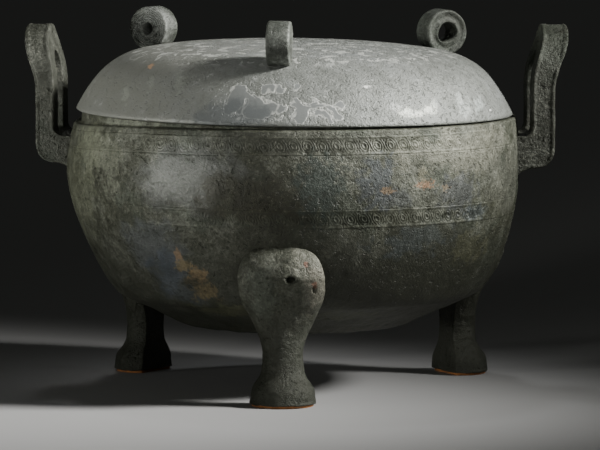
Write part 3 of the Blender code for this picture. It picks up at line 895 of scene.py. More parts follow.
@dataclass
class Leg:
    """A cabriole leg: round bulb, waisted neck and a hoof, with a flat back."""

    side: Side
    azimuth: float
    bowl: Bowl
    inner_radius: float = 0.1265
    top_height: float = 0.1160
    sole: float = 0.0027
    flat_share: float = 0.80
    lip_drop: float = 0.0012
    rows: int = 150
    columns: int = 196
    half_widths: tuple[tuple[float, float], ...] = (
        (0.0, 0.0238), (0.0027, 0.0237), (0.0118, 0.0222), (0.0150, 0.0206), (0.0192, 0.0174),
        (0.0234, 0.0152), (0.0316, 0.0141), (0.0399, 0.0144), (0.0481, 0.0166), (0.0563, 0.0204),
        (0.0646, 0.0244), (0.0729, 0.0283), (0.0830, 0.0308), (0.0936, 0.0310), (0.1020, 0.0290),
        (0.1070, 0.0262), (0.1110, 0.0222), (0.1140, 0.0165), (0.1160, 0.0085),
    )
    reaches: tuple[tuple[float, float], ...] = (
        (0.0, 0.1585), (0.0120, 0.1572), (0.0150, 0.1552), (0.0190, 0.1517), (0.0240, 0.1496),
        (0.0330, 0.1489), (0.0480, 0.1490), (0.0560, 0.1500), (0.0660, 0.1535), (0.0750, 0.1585),
        (0.0850, 0.1640), (0.0930, 0.1675), (0.1000, 0.1668), (0.1060, 0.1640), (0.1110, 0.1610),
        (0.1160, 0.1560),
    )
    backs: tuple[tuple[float, float], ...] = (
        (0.0, 0.0025), (0.0125, 0.0017), (0.0230, 0.0006), (0.0330, 0.0), (0.1200, 0.0),
    )

    def outline(self, half: float, back: float, front: float) -> np.ndarray:
        """One level section.

        Args:
            half: Half its width.
            back: Radius of its flat back.
            front: Radius of its outermost point.

        Returns:
            (radius, sideways) points, anticlockwise from the middle of the back.
        """
        middle = back + 0.36 * (front - back)
        corner = self.flat_share * half
        turn = np.linspace(-0.5 * math.pi, 0.5 * math.pi, 41)
        bow = np.stack([middle + (front - middle) * np.cos(turn), half * np.sin(turn)], axis=1)
        cheek = curve((back, -corner), (back + 0.3 * (middle - back), -0.93 * half),
                      (middle - 0.3 * (middle - back), -half), (middle, -half), 10)
        other = cheek[::-1] * np.array((1.0, -1.0))
        return spread(np.concatenate([[(back, 0.0)], cheek, bow[1:-1], other, [(back, 0.0)]]),
                      self.columns + 1)[:-1]

    def build(self) -> bpy.types.Mesh:
        """Loft the sections and close both ends."""
        heights = np.linspace(self.sole, self.top_height, self.rows)
        halves = eased(self.half_widths, heights, 0.0009)
        fronts = eased(self.reaches, heights, 0.0009)
        backs = self.inner_radius - eased(self.backs, heights, 0.0009)
        in_wall = self.bowl.radius(heights) - 0.0024
        backs = np.where(heights > 0.060, np.maximum(backs, np.minimum(in_wall, fronts - 0.002)), backs)
        turn = azimuth_turn(self.azimuth)
        foot = self.outline(halves[0], backs[0], fronts[0])
        middle = np.array((0.5 * (backs[0] + fronts[0]), 0.0))
        wear = self.bowl.grain.at(np.column_stack([foot, foot[:, 0]]), 0.006)
        ragged = self.lip_drop * (0.62 + 0.38 * wear)
        rings = [np.column_stack([middle + share * (foot - middle), self.sole - drop * ragged])
                 for share, drop in ((0.955, 0.0), (0.984, 1.0), (0.996, 1.0))]
        rings += [np.column_stack([self.outline(half, back, front), np.full(self.columns, height)])
                  for height, half, back, front in zip(heights, halves, backs, fronts)]
        ends = ((*middle, self.sole), (0.5 * (backs[-1] + fronts[-1]), 0.0, self.top_height))
        skin = Skin()
        skin.loft([ring @ turn.T for ring in rings], (ends[0] @ turn.T, ends[1] @ turn.T))
        return skin.mesh(f"{self.side.value}_leg")

    def marks(self, places: np.ndarray) -> np.ndarray:
        """Casting scars of the front leg: a hole, a lozenge, a slot, and a crack over the bulb.

        Args:
            places: Points in the leg's own frame, radius first, then sideways and height.

        Returns:
            The push, in metres.
        """
        side, height = places[:, 1], places[:, 2]
        outer = smooth_step(0.140, 0.150, places[:, 0])
        hole = np.hypot((side - 0.0080) / 0.0036, (height - 0.0926) / 0.0024)
        push = -0.0050 * smooth_step(1.15, 0.65, hole) + 0.0005 * np.exp(-(((hole - 1.5) / 0.35) ** 2))
        lozenge = np.abs(side + 0.0041) / 0.0026 + np.abs(height - 0.0845) / 0.0046
        push -= 0.0008 * smooth_step(1.15, 0.85, lozenge)
        slot = np.hypot((side - 0.0240) / 0.0014, (height - 0.0850) / 0.0028)
        push -= 0.0012 * smooth_step(1.2, 0.7, slot)
        arc = height - (0.1075 - 0.42 * (side + 0.004) - 8.0 * (side - 0.006) ** 2)
        along = smooth_step(-0.006, -0.003, side) * smooth_step(0.018, 0.014, side)
        push -= 0.0006 * np.exp(-((arc / 0.0009) ** 2)) * along
        chip = smooth_step(0.0070, 0.0040, height) * smooth_step(0.0125, 0.0160, side)
        push -= 0.0008 * chip
        return push * outer

    def relief(self, places: np.ndarray, normals: np.ndarray) -> np.ndarray:
        """Lumps and pits of the rough cast, less on the flat back."""
        grain = self.bowl.grain
        local = places @ azimuth_turn(self.azimuth)
        push = 0.00040 * grain.at(places + 2.1, 0.019) + 0.00026 * grain.at(places + 0.9, 0.0085)
        push += 0.00013 * grain.layered(places, 0.0048, 2)
        push -= 0.00050 * smooth_step(0.42, 0.85, grain.at(places + 3.3, 0.0046))
        if self.side is Side.FRONT:
            push += self.marks(local)
        hidden = local[:, 0] < self.bowl.radius(local[:, 2]) - 0.0010
        low = smooth_step(self.sole, self.sole + 0.0012, places[:, 2])
        return np.where(hidden & (local[:, 2] > 0.066), 0.0, push) * low


@dataclass
class Handle:
    """A standing loop handle on a short arm, with a bordered panel on its edges."""

    side: Side
    azimuth: float
    bowl: Bowl
    strap_gap: float
    strap_thickness: float
    lean_inner: float
    lean_outer: float
    arm_depth: float
    arm_drop: float = 0.0133
    elbow: float = 0.0145
    fillet: float = 0.006
    corner: float = 0.0042
    width: float = 0.069
    rise: float = 0.0667
    opening_width: float = 0.028
    head_depth: float = 0.020
    opening_step: float = 0.0025
    border: float = 0.0021
    voxel: float = 0.00078

    def __post_init__(self) -> None:
        """Work out the heights."""
        self.top = self.bowl.shoulder_height + self.rise
        self.arm_top = self.bowl.shoulder_height - self.arm_drop
        self.foot = self.arm_top - self.arm_depth
        self.inner = self.bowl.belly_radius + self.strap_gap
        self.outer = self.inner + self.strap_thickness

    def outer_line(self) -> np.ndarray:
        """(radius, height) up the outside, from under the arm to the top."""
        root, elbow, half = self.bowl.belly_radius - 0.008, self.elbow, 0.5 * self.width
        springing = self.top - half
        far = self.outer + self.lean_outer
        return np.concatenate([
            curve((root, self.foot - 0.52 * elbow), (root + 0.41 * elbow, self.foot - 0.10 * elbow),
                  (root + 0.76 * elbow, self.foot), (self.outer - elbow, self.foot), 8),
            curve((self.outer - elbow, self.foot), (self.outer - 0.35 * elbow, self.foot),
                  (self.outer, self.foot + 0.4 * elbow), (self.outer, self.foot + 1.1 * elbow), 10)[1:],
            curve((self.outer, springing - 0.41 * half), (self.outer, springing + 0.12 * half),
                  (far, self.top - 0.58 * half), (far, self.top - self.corner), 16),
            curve((far, self.top - self.corner), (far, self.top), (far, self.top),
                  (far - self.corner, self.top), 6)[1:],
        ])

    def inner_line(self) -> np.ndarray:
        """(radius, height) down the inside, from the top to the arm and in to the bowl."""
        root, half, fillet = self.bowl.belly_radius - 0.008, 0.5 * self.width, self.fillet
        springing = self.top - half
        near = self.inner + self.lean_inner
        return np.concatenate([
            curve((near + self.corner, self.top), (near, self.top), (near, self.top),
                  (near, self.top - self.corner), 6),
            curve((near, self.top - self.corner), (near, self.top - 0.46 * half),
                  (self.inner, springing + 0.23 * half), (self.inner, springing - 0.35 * half), 14)[1:],
            curve((self.inner, self.arm_top + fillet), (self.inner, self.arm_top + fillet / 3.0),
                  (self.inner - fillet / 3.0, self.arm_top), (self.inner - fillet, self.arm_top), 6),
            [(root, self.arm_top)],
        ])

    def arch(self, half: float, foot: float, top: float) -> np.ndarray:
        """(sideways, height) round an upright outline with a round head."""
        turn = np.linspace(0.0, math.pi, 49)
        head = np.stack([half * np.cos(turn), top - half + half * np.sin(turn)], axis=1)
        return np.concatenate([[(-half, foot), (half, foot)], head])

    def guide(self, name: str, first: np.ndarray, second: np.ndarray) -> bpy.types.Object:
        """A plain closed prism between two rings."""
        skin = Skin()
        start, end = skin.ring(first), skin.ring(second)
        skin.join(start, end)
        skin.faces += [tuple(reversed(start)), tuple(end)]
        mesh = skin.mesh(name)
        made = bpy.data.objects.new(name, mesh)
        bpy.context.scene.collection.objects.link(made)
        return made

    def build(self) -> bpy.types.Mesh:
        """Cut the handle from its side shape, its front shape and its opening, and ease its edges."""
        turn = azimuth_turn(self.azimuth)
        half = 0.5 * self.width
        profile = np.concatenate([self.outer_line(), self.inner_line()])
        wide = half + 0.004

        def from_side(depth: float) -> np.ndarray:
            """The side shape at one depth."""
            return np.column_stack([profile[:, 0], np.full(len(profile), depth), profile[:, 1]]) @ turn.T

        def from_front(outline: np.ndarray, reach: float) -> np.ndarray:
            """A front shape at one distance from the axle."""
            return np.column_stack([np.full(len(outline), reach), outline]) @ turn.T

        near = self.bowl.belly_radius - 0.012
        far = self.outer + self.lean_outer + 0.004
        front = self.arch(half, self.foot - 0.020, self.top)
        hole = self.arch(0.5 * self.opening_width, self.arm_top + self.opening_step,
                         self.top - self.head_depth)
        body = self.guide("handle_side", from_side(wide), from_side(-wide))
        cutters = (("INTERSECT", self.guide("handle_arch", from_front(front, near), from_front(front, far))),
                   ("DIFFERENCE", self.guide("handle_hole", from_front(hole, self.inner - 0.008),
                                             from_front(hole, far + 0.004))))
        for operation, other in cutters:
            step = body.modifiers.new(other.name, "BOOLEAN")
            step.object, step.operation, step.solver = other, operation, "EXACT"
        remesh = body.modifiers.new("even", "REMESH")
        remesh.mode, remesh.voxel_size = "VOXEL", self.voxel
        ease = body.modifiers.new("ease", "SMOOTH")
        ease.factor, ease.iterations = 0.5, 5
        return settled([body] + [other for _, other in cutters])

    def relief(self, places: np.ndarray, normals: np.ndarray) -> np.ndarray:
        """Bordered panels with worn scrolls on the edges, and the rough cast everywhere.

        Args:
            places: Points of the plain handle.
            normals: Their normals.

        Returns:
            The push out, in metres.
        """
        grain = self.bowl.grain
        turn = azimuth_turn(self.azimuth)
        local, facing = places @ turn, normals @ turn
        outer = np.sort(self.outer_line()[self.outer_line()[:, 1] > self.foot + 0.001], axis=0)
        inner_rows = self.inner_line()
        inner_rows = inner_rows[np.argsort(inner_rows[:, 1])]
        to_outer = np.interp(local[:, 2], outer[:, 1], outer[:, 0]) - local[:, 0]
        to_inner = local[:, 0] - np.interp(local[:, 2], inner_rows[:, 1], inner_rows[:, 0])
        above = local[:, 2] > self.arm_top + 0.002
        edge = np.where(above, np.minimum(to_outer, to_inner), to_outer)
        edge = np.minimum(edge, np.where(above, edge, local[:, 2] - self.foot))
        rim = smooth_step(0.62, 0.86, 1.0 - np.abs(facing[:, 0]))
        rim *= smooth_step(0.10, 0.30, np.abs(edge) * 1000.0)
        outside = np.hypot(local[:, 1], np.maximum(local[:, 2] - self.top + 0.5 * self.width, 0.0)) > 0.022
        panel = smooth_step(self.border, self.border + 0.0007, edge) * rim * outside
        along = local[:, 2] + 0.35 * np.abs(local[:, 1])
        scroll = np.cos(FULL_TURN * np.hypot((along % 0.0090) - 0.0045, 1.3 * (edge - 0.0058)) / 0.0026)
        worn = smooth_step(-0.25, 0.5, grain.layered(places + 4.2, 0.020, 2))
        push = -0.00055 * panel + 0.00022 * panel * scroll * worn
        push += 0.00022 * grain.at(places + 2.4, 0.012) + 0.00012 * grain.layered(places, 0.0050, 2)
        roughness = 1.8 if self.side is Side.RIGHT else 1.0
        push -= 0.00026 * roughness * smooth_step(0.40, 0.85, grain.at(places + 6.3, 0.0042))
        return push

    def finish(self, mesh: bpy.types.Mesh) -> None:
        """Work the surface, and keep the arm's root inside the bowl's wall."""
        roughen(mesh, self.relief)
        places, _ = read_points(mesh)
        middle = self.bowl.shift(places[:, 2])
        flat = places[:, :2] - np.column_stack([middle, np.zeros(len(middle))])
        radius = np.hypot(*flat.T)
        least = np.where(places[:, 2] < self.arm_top + 0.003, self.bowl.radius(places[:, 2]) - 0.0022, 0.0)
        grow = np.maximum(1.0, least / np.maximum(radius, 1e-6))
        places[:, :2] = flat * grow[:, None] + np.column_stack([middle, np.zeros(len(middle))])
        write_points(mesh, places)


# The lid


@dataclass
class Lid:
    """The domed lid, which rests askew on the lip."""

    radius: float = 0.1602
    rise: float = 0.0513
    wall: float = 0.0035
    height: float = 0.2004
    tilt: float = 0.82
    tilt_azimuth: float = -25.0
    rim_round: float = 0.0018
    rim_thickness: float = 0.0065
    rim_height: float = 0.004
    crown_radius: float = 0.1053
    crown_drop: float = 0.0053
    crown_power: float = 2.9
    columns: int = 480
    grain: Grain = field(default_factory=lambda: Grain(23))

    def __post_init__(self) -> None:
        """Work out the outline and the lid's own frame."""
        inset = self.radius - self.crown_radius
        slope = self.crown_power * self.crown_drop / self.crown_radius
        crown = (self.crown_radius, self.level(self.crown_radius))
        rim_pull = (self.radius - 0.224 * inset, 0.483 * self.rise)
        crown_pull = (self.crown_radius + 0.559 * inset, crown[1] - 0.559 * inset * slope)
        widest = (self.radius, self.rim_round)
        radii = np.linspace(self.crown_radius, 0.0, 60)[1:]
        top = np.stack([radii, [self.level(r) for r in radii]], axis=1)
        foot = curve((self.radius - 0.9 * self.rim_round, 0.0), (self.radius - 0.2 * self.rim_round, 0.0),
                     (self.radius, 0.3 * self.rim_round), widest, 5)
        self.outline = np.concatenate([foot, curve(widest, rim_pull, crown_pull, crown, 60)[1:], top])
        azimuth = math.radians(self.tilt_azimuth)
        axis = Vector((-math.sin(azimuth), math.cos(azimuth), 0.0))
        self.turn = np.array(Matrix.Rotation(math.radians(self.tilt), 3, axis))

    def level(self, radius: float) -> float:
        """Height of the crown over the rim at a radius."""
        return self.rise - self.crown_drop * (radius / self.crown_radius) ** self.crown_power

    def surface(self, radius: np.ndarray) -> np.ndarray:
        """Height of the outside over the rim at a radius."""
        rows = self.outline[5:][::-1]
        return np.interp(radius, rows[:, 0], rows[:, 1])

    def place(self, points: np.ndarray) -> np.ndarray:
        """Carry points from the lid's own frame to the model's."""
        return points @ self.turn.T + np.array((0.0, 0.0, self.height))

    def relief(self, places: np.ndarray) -> np.ndarray:
        """Slight waves and small pits of the outside, in metres."""
        push = 0.00022 * self.grain.at(places, 0.040) + 0.00011 * self.grain.at(places, 0.015)
        push += 0.00004 * self.grain.layered(places, 0.0060, 2)
        return push - 0.00010 * smooth_step(0.45, 0.85, self.grain.at(places + 1.0, 0.0055))

    def build(self) -> bpy.types.Mesh:
        """Make the lid as one closed skin, from inside its rim over the crown and back inside."""
        mouth, columns = self.radius - self.rim_thickness, self.columns
        rows = [(mouth, 0.0, columns // 2), (self.radius - 2.2 * self.rim_round, 0.0, columns)]
        body = self.outline[5:]
        body = spread(body[body[:, 0] > 0.034], 128)[1:]
        rows += [(r, z, columns) for r, z in np.concatenate([self.outline[:5], body])]
        rows += [(r, float(self.level(r)), columns // 4) for r in np.linspace(0.032, 0.006, 14)]
        rings = [polar(radius, round_angles(columns // 2), height) for radius, height in self.inside()[::-1]]
        for radius, height, count in rows:
            azimuth = round_angles(count)
            ring = polar(radius, azimuth, height)
            if height > 0.0:
                out, up = self.normal_at(radius)
                ring = ring + self.relief(ring)[:, None] * polar(out, azimuth, up)
            rings.append(ring)
        skin = Skin()
        skin.loft([self.place(ring) for ring in rings],
                  [self.place(np.array((0.0, 0.0, height))) for height in (self.rise - self.wall, self.rise)])
        return skin.mesh("lid")

    def normal_at(self, radius: float) -> tuple[float, float]:
        """(out, up) parts of the outside's normal at a radius."""
        step = 0.0005
        drop = float(self.surface(radius - step) - self.surface(min(radius + step, self.radius)))
        run = min(radius + step, self.radius) - radius + step
        length = math.hypot(drop, run)
        return drop / length, run / length

    def inside(self) -> list[tuple[float, float]]:
        """(radius, height) rows of the hollow, from the rim to the crown."""
        mouth = self.radius - self.rim_thickness
        rows = [(mouth, self.rim_height)]
        for radius in np.linspace(self.radius - 0.0085, 0.010, 22):
            out, up = self.normal_at(radius)
            point = (radius - out * self.wall, float(self.surface(radius)) - up * self.wall)
            if point[0] < mouth - 0.001 and point[1] > self.rim_height + 0.001:
                rows.append(point)
        return rows


@dataclass
class Knob:
    """An upright disc on the lid, pierced by a round hole."""

    side: Side
    azimuth: float
    lid: Lid
    radius: float
    thickness: float
    hole: float
    rings: float = 0.0
    dish: float = 0.0
    ragged: float = 0.0
    centre_radius: float = 0.1225
    sink: float = 0.0023
    plain_radius: float = 0.016
    chamfer: float = 0.0015
    spokes: int = 144

    def build(self) -> bpy.types.Mesh:
        """Turn the disc's section round its axle."""
        lid = self.lid
        surface = float(lid.surface(self.centre_radius))
        nearby = float(lid.surface(self.centre_radius + lid.wall))
        slant = math.cos(math.atan2(surface - nearby, lid.wall))
        centre = np.array((self.centre_radius, 0.0, surface + (self.plain_radius - self.sink) / slant))
        half, inner = 0.5 * self.thickness, 0.5 * self.hole
        face = self.face_line(inner + 0.0006, self.radius - self.chamfer, half)
        rim = curve(face[-1], (self.radius - 0.3 * self.chamfer, face[-1][1]),
                    (self.radius, half - 0.7 * self.chamfer), (self.radius, half - self.chamfer), 5)[1:]
        straight = np.linspace(half - self.chamfer, self.chamfer - half, 16)[1:-1]
        back = np.concatenate([face, rim])[::-1] * np.array((1.0, -1.0))
        bore = [(inner, 0.0006 - half), (inner, 0.0), (inner, half - 0.0006)]
        line = np.concatenate([face, rim, [(self.radius, value) for value in straight], back, bore])
        turn = azimuth_turn(self.azimuth)
        hoops = []
        for angle in round_angles(self.spokes):
            radii = self.worked_radii(line, angle)
            ring = np.stack([radii * math.cos(angle), line[:, 1], radii * math.sin(angle)], axis=1) + centre
            ring[:, 2] = np.maximum(ring[:, 2], lid.surface(np.hypot(ring[:, 0], ring[:, 1])) - 0.0022)
            hoops.append(lid.place(ring @ turn.T))
        skin = Skin()
        skin.loft(hoops)
        return skin.mesh(f"{self.side.value}_knob")

    def worked_radii(self, line: np.ndarray, angle: float) -> np.ndarray:
        """Radii of the section at one angle, with the hole's ragged edge."""
        wave = self.ragged * (math.sin(2.0 * angle + 0.6) + 0.6 * math.sin(3.0 * angle + 2.0))
        near = smooth_step(0.5 * self.hole + 0.004, 0.5 * self.hole, line[:, 0])
        return line[:, 0] + wave * near

    def face_line(self, start: float, end: float, half: float) -> np.ndarray:
        """(radius, depth) over one face, with its grooves, raised ring and dish."""
        radii = np.linspace(start, end, 40)
        share = (radii - start) / (end - start)
        depth = np.full(40, half) - self.dish * np.sin(math.pi * share) ** 2
        grooves = np.cos(FULL_TURN * (radii - start) / 0.0017)
        depth += self.rings * (0.00025 * grooves - 0.0002)
        depth += self.rings * 0.0006 * np.exp(-(((radii - start - 0.0010) / 0.0008) ** 2))
        depth[0] -= 0.0005
        return np.stack([radii, np.minimum(depth, half)], axis=1)

    def relief(self, places: np.ndarray, normals: np.ndarray) -> np.ndarray:
        """Slight lumps and pits."""
        grain = self.lid.grain
        push = 0.00016 * grain.at(places + 0.7, 0.009) + 0.00007 * grain.layered(places, 0.0035, 2)
        return push - 0.00018 * smooth_step(0.45, 0.85, grain.at(places + 5.0, 0.0030))


@dataclass
class FootPad:
    """A thin pad under one foot."""

    leg: Leg
    thickness: float = 0.0024
    inset: float = 0.0014

    def build(self) -> bpy.types.Mesh:
        """Cut the pad to the sole's shape, a little smaller, with a worn edge."""
        leg = self.leg
        half = float(np.interp(leg.sole, *zip(*leg.half_widths))) - self.inset
        back = leg.inner_radius - 0.0025 + self.inset
        front = float(np.interp(leg.sole, *zip(*leg.reaches))) - self.inset
        section = leg.outline(half, back, front)
        middle = section.mean(axis=0)
        turn = azimuth_turn(leg.azimuth)
        away = section - middle
        away /= np.hypot(*away.T)[:, None]
        rings = []
        for share, pull in ((0.0, 0.0004), (0.12, 0.0), (0.5, -0.0001), (0.88, 0.0), (1.0, 0.0005)):
            level = np.full(len(section), share * self.thickness)
            plain = np.column_stack([section, level])
            worn = 0.0004 * (leg.bowl.grain.at(plain + leg.azimuth, 0.006) - 1.0) - pull
            rings.append(np.column_stack([section + away * worn[:, None], level]) @ turn.T)
        skin = Skin()
        skin.loft(rings, [np.array((*middle, height)) @ turn.T for height in (0.0, self.thickness)])
        return skin.mesh(f"{leg.side.value}_foot_pad")


# The studio


@dataclass(frozen=True)
class SoftLight:
    """A soft square light that looks at a point."""

    name: str
    place: Point
    target: Point
    size: float
    power: float
    colour: Colour = (1.0, 1.0, 1.0)
    spread: float = 180.0

    def build(self) -> None:
        """Hang the light."""
        data = bpy.data.lights.new(self.name, "AREA")
        data.spread = math.radians(self.spread)
        data.shape, data.size = "SQUARE", self.size
        data.energy, data.color = self.power, self.colour
        light = bpy.data.objects.new(self.name, data)
        light.location = self.place
        light.rotation_euler = (Vector(self.target) - Vector(self.place)).to_track_quat("-Z", "Y").to_euler()
        bpy.context.scene.collection.objects.link(light)


@dataclass
class Studio:
    """Camera, floor and lights."""

    lens: float = 285.0
    camera_place: Point = (0.0037, -3.48, 0.430)
    camera_pitch: float = 5.15
    floor_half: float = 14.0
    backdrop: Colour = (0.34, 0.35, 0.33)
    backdrop_power: float = 0.064
    lights: tuple[SoftLight, ...] = (
        SoftLight("key_light", (1.01, -0.27, 0.76), (-0.02, -0.19, 0.310), 0.24, 3.05,
                  (1.0, 0.99, 0.965), 40.5),
        SoftLight("side_light", (-1.50, -0.74, 0.20), (-0.10, -0.03, 0.30), 0.26, 0.50,
                  (1.0, 1.0, 0.97), 24.0),
        SoftLight("front_light", (-1.30, -2.60, 0.60), (-0.10, 0.0, 0.31), 0.40, 0.10,
                  (1.0, 1.0, 0.97), 14.0),
        SoftLight("floor_light", (0.10, -1.45, 0.90), (0.0, -0.92, 0.0), 0.30, 0.26, (1.0, 1.0, 0.99), 48.0),
        SoftLight("top_light", (-0.10, 0.55, 1.40), (0.0, 0.05, 0.24), 0.30, 0.045, (0.98, 0.99, 1.0), 15.0),
    )

    def build(self) -> None:
        """Set up all of the studio."""
        data = bpy.data.cameras.new("camera")
        data.lens, data.sensor_width = self.lens, 36.0
        data.clip_end = 60.0
        camera = bpy.data.objects.new("camera", data)
        camera.location = self.camera_place
        camera.rotation_euler = (math.radians(90.0 - self.camera_pitch), 0.0, 0.0)
        bpy.context.scene.collection.objects.link(camera)
        bpy.context.scene.camera = camera
        half = self.floor_half
        mesh = bpy.data.meshes.new("floor")
        corners = [(-half, -half, 0.0), (half, -half, 0.0), (half, half, 0.0), (-half, half, 0.0)]
        mesh.from_pydata(corners, [], [(0, 1, 2, 3)])
        mesh.materials.append(FloorPaper().make())
        floor = bpy.data.objects.new("floor", mesh)
        bpy.context.scene.collection.objects.link(floor)
        world = bpy.data.worlds.new("studio")
        world.use_nodes = True
        backdrop = world.node_tree.nodes["Background"]
        backdrop.inputs["Color"].default_value = (*self.backdrop, 1.0)
        backdrop.inputs["Strength"].default_value = self.backdrop_power
        bpy.context.scene.world = world
        for light in self.lights:
            light.build()


# Stains and worn spots, and some patches of painted light and shade: centre and radii in millimetres, colour,
# strength, raggedness and grain


def patches(*rows: tuple[float, ...]) -> tuple[Patch, ...]:
    """Make patches from rows of numbers, in the order above."""
    spots = []
    for row in rows:
        centre, radii = (tuple(0.001 * value for value in part) for part in (row[:3], row[3:6]))
        spots.append(Patch(centre, radii, row[6:9], *row[9:]))
    return tuple(spots)


BOWL_STAINS_AND_PAINTED_LIGHT = patches(
    # Partly painted light: the first three rows are pale stains on the far left, made paler to stand in for
    # the light falling there from the left.
    (-147, -76, 180, 14, 30, 20, 0.25, 0.265, 0.19, 0.8, 1.3, 120),
    (-132, -98, 172, 10, 30, 24, 0.21, 0.222, 0.165, 0.7, 1.4, 120),
    (-155, -50, 145, 18, 50, 40, 0.15, 0.16, 0.105, 0.65, 1.2, 70),
    (-78, -143, 164, 54, 35, 27, 0.118, 0.124, 0.114, 0.8, 1, 50),
    (-30, -165, 150, 58, 30, 19, 0.036, 0.034, 0.018, 0.78, 1.1, 60),
    (-10, -165, 120, 50, 30, 16, 0.042, 0.044, 0.028, 0.6, 1.1, 60),
    (0, -160, 189, 75, 30, 10, 0.068, 0.07, 0.054, 0.55, 1.1, 80),
    (18, -163, 158, 18, 20, 26, 0.04, 0.056, 0.048, 0.8, 1.5, 140),
    # Painted shade: a broad dark patch low on the right, where the light does not reach.
    (95, -120, 86, 100, 70, 40, 0.024, 0.026, 0.015, 0.85, 1.1, 50),
    (125, -105, 181, 74, 60, 18, 0.25, 0.25, 0.192, 0.7, 1.2, 70),
    (150, -60, 155, 20, 50, 30, 0.17, 0.174, 0.14, 0.6, 1.2, 70),
    (58, -152, 160, 15, 20, 19, 0.066, 0.078, 0.088, 0.72, 1.5, 150),
    (72, -148, 148, 14, 20, 8, 0.076, 0.084, 0.088, 0.6, 1.5, 150),
    (117, -116, 150, 24, 22, 15, 0.088, 0.096, 0.104, 0.6, 1.4, 130),
    (128, -100, 134, 12, 22, 6, 0.092, 0.112, 0.122, 0.6, 1.4, 150),
    (88, -134, 118, 50, 22, 12, 0.048, 0.06, 0.062, 0.62, 1.5, 120),
    (128, -95, 108, 18, 30, 14, 0.075, 0.076, 0.04, 0.6, 1.4, 130),
    (64.5, -153, 154.5, 5, 10, 2.6, 0.33, 0.215, 0.115, 0.62, 2, 420),
    (92.5, -137, 157.2, 7, 10, 3.2, 0.42, 0.235, 0.125, 0.72, 2, 420),
    (107.5, -126, 154, 3.2, 10, 2.2, 0.33, 0.25, 0.15, 0.6, 2, 420),
    (90, -137, 164, 4, 10, 6, 0.24, 0.23, 0.15, 0.5, 1.8, 300),
    (-104, -118, 112, 30, 40, 20, 0.092, 0.102, 0.108, 0.62, 1.1, 70),
    (-90, -120, 92, 15, 30, 18, 0.07, 0.084, 0.102, 0.72, 1.1, 80),
    (-75, -115, 76, 16, 30, 9, 0.062, 0.074, 0.08, 0.6, 1.2, 90),
    (-83.5, -131, 107, 3.5, 20, 5, 0.29, 0.19, 0.105, 0.68, 1.7, 260),
    (-79, -131, 98.5, 6.5, 20, 5, 0.215, 0.165, 0.08, 0.66, 1.8, 240),
    (-69, -131, 93, 7, 20, 6, 0.25, 0.17, 0.08, 0.62, 1.8, 240),
    (-64, -127, 80, 11, 20, 9, 0.185, 0.14, 0.062, 0.66, 1.7, 200),
    (-73, -127, 86.5, 6, 20, 3.4, 0.05, 0.042, 0.02, 0.75, 1.5, 200),
    (-45, -120, 66, 30, 30, 6, 0.13, 0.135, 0.07, 0.5, 1.6, 150),
    (30, -120, 61, 60, 30, 4, 0.09, 0.1, 0.055, 0.45, 1.7, 160),
    (-120, -100, 198.5, 40, 40, 2.5, 0.29, 0.31, 0.24, 0.7, 1.4, 200),
)
LEG_STAINS = patches(
    (12, -160, 104, 20, 30, 14, 0.25, 0.25, 0.2, 0.75, 1.1, 110),
    (16, -160, 86, 10, 30, 20, 0.23, 0.215, 0.17, 0.55, 1.2, 150),
    (8, -165, 103, 2.2, 30, 2.2, 0.33, 0.15, 0.1, 0.8, 1, 300),
    (14, -165, 88.5, 2.2, 30, 3, 0.33, 0.165, 0.11, 0.75, 1, 300),
    (-22, -160, 82, 12, 30, 22, 0.11, 0.128, 0.1, 0.6, 1.1, 110),
)
BOWL_SMOOTH = patches(
    (-80, -142, 163, 46, 35, 24, 0, 0, 0, 1, 1, 70),
    (-96, -121, 101, 20, 30, 27, 0, 0, 0, 0.7, 0.9, 60),
    (-140, -80, 180, 40, 50, 18, 0, 0, 0, 0.5, 0.8, 60),
)
KNOB_STAINS_AND_PAINTED_LIGHT = patches(
    (-12, -123, 262, 22, 22, 30, 0.068, 0.074, 0.062, 0.65, 1, 110),
    # Painted shadow: the lower half of the front knob is darkened.
    (-12, -123, 251, 20, 22, 11, 0.028, 0.031, 0.024, 0.8, 0.9, 110),
    # Partly painted light: a pale stain on the left knob, made paler to stand in for light that the knob does
    # not get.
    (-106, 50, 262, 20, 20, 18, 0.34, 0.355, 0.33, 0.8, 0.9, 90),
    (118, 52, 262, 10, 20, 10, 0.07, 0.072, 0.058, 0.6, 1, 110),
)
LID_PLATES = patches(
    (-31.4, -149.9, 214, 21.7, 20.3, 10.9, 0, 0, 0, 1, 0.9, 75),
    (3.7, -154.5, 211, 14.5, 20.3, 10.9, 0, 0, 0, 1, 0.9, 75),
    (16.3, -150, 217, 9.4, 20.3, 14.5, 0, 0, 0, 1, 0.9, 75),
    (25, -153.9, 209.8, 13.8, 20.3, 8.7, 0, 0, 0, 1, 0.9, 75),
    (-17, -145.4, 224.5, 11.6, 17.4, 5.5, 0, 0, 0, 1, 0.9, 75),
    (-11, -156.1, 208.6, 5.2, 17.4, 8.7, 0, 0, 0, 1, 0.9, 75),
    (-40.7, -139.6, 225.5, 8.7, 17.4, 3.8, 0, 0, 0, 1, 0.9, 75),
    (1.6, -144.4, 226.5, 4.9, 17.4, 4.1, 0, 0, 0, 1, 0.9, 75),
)
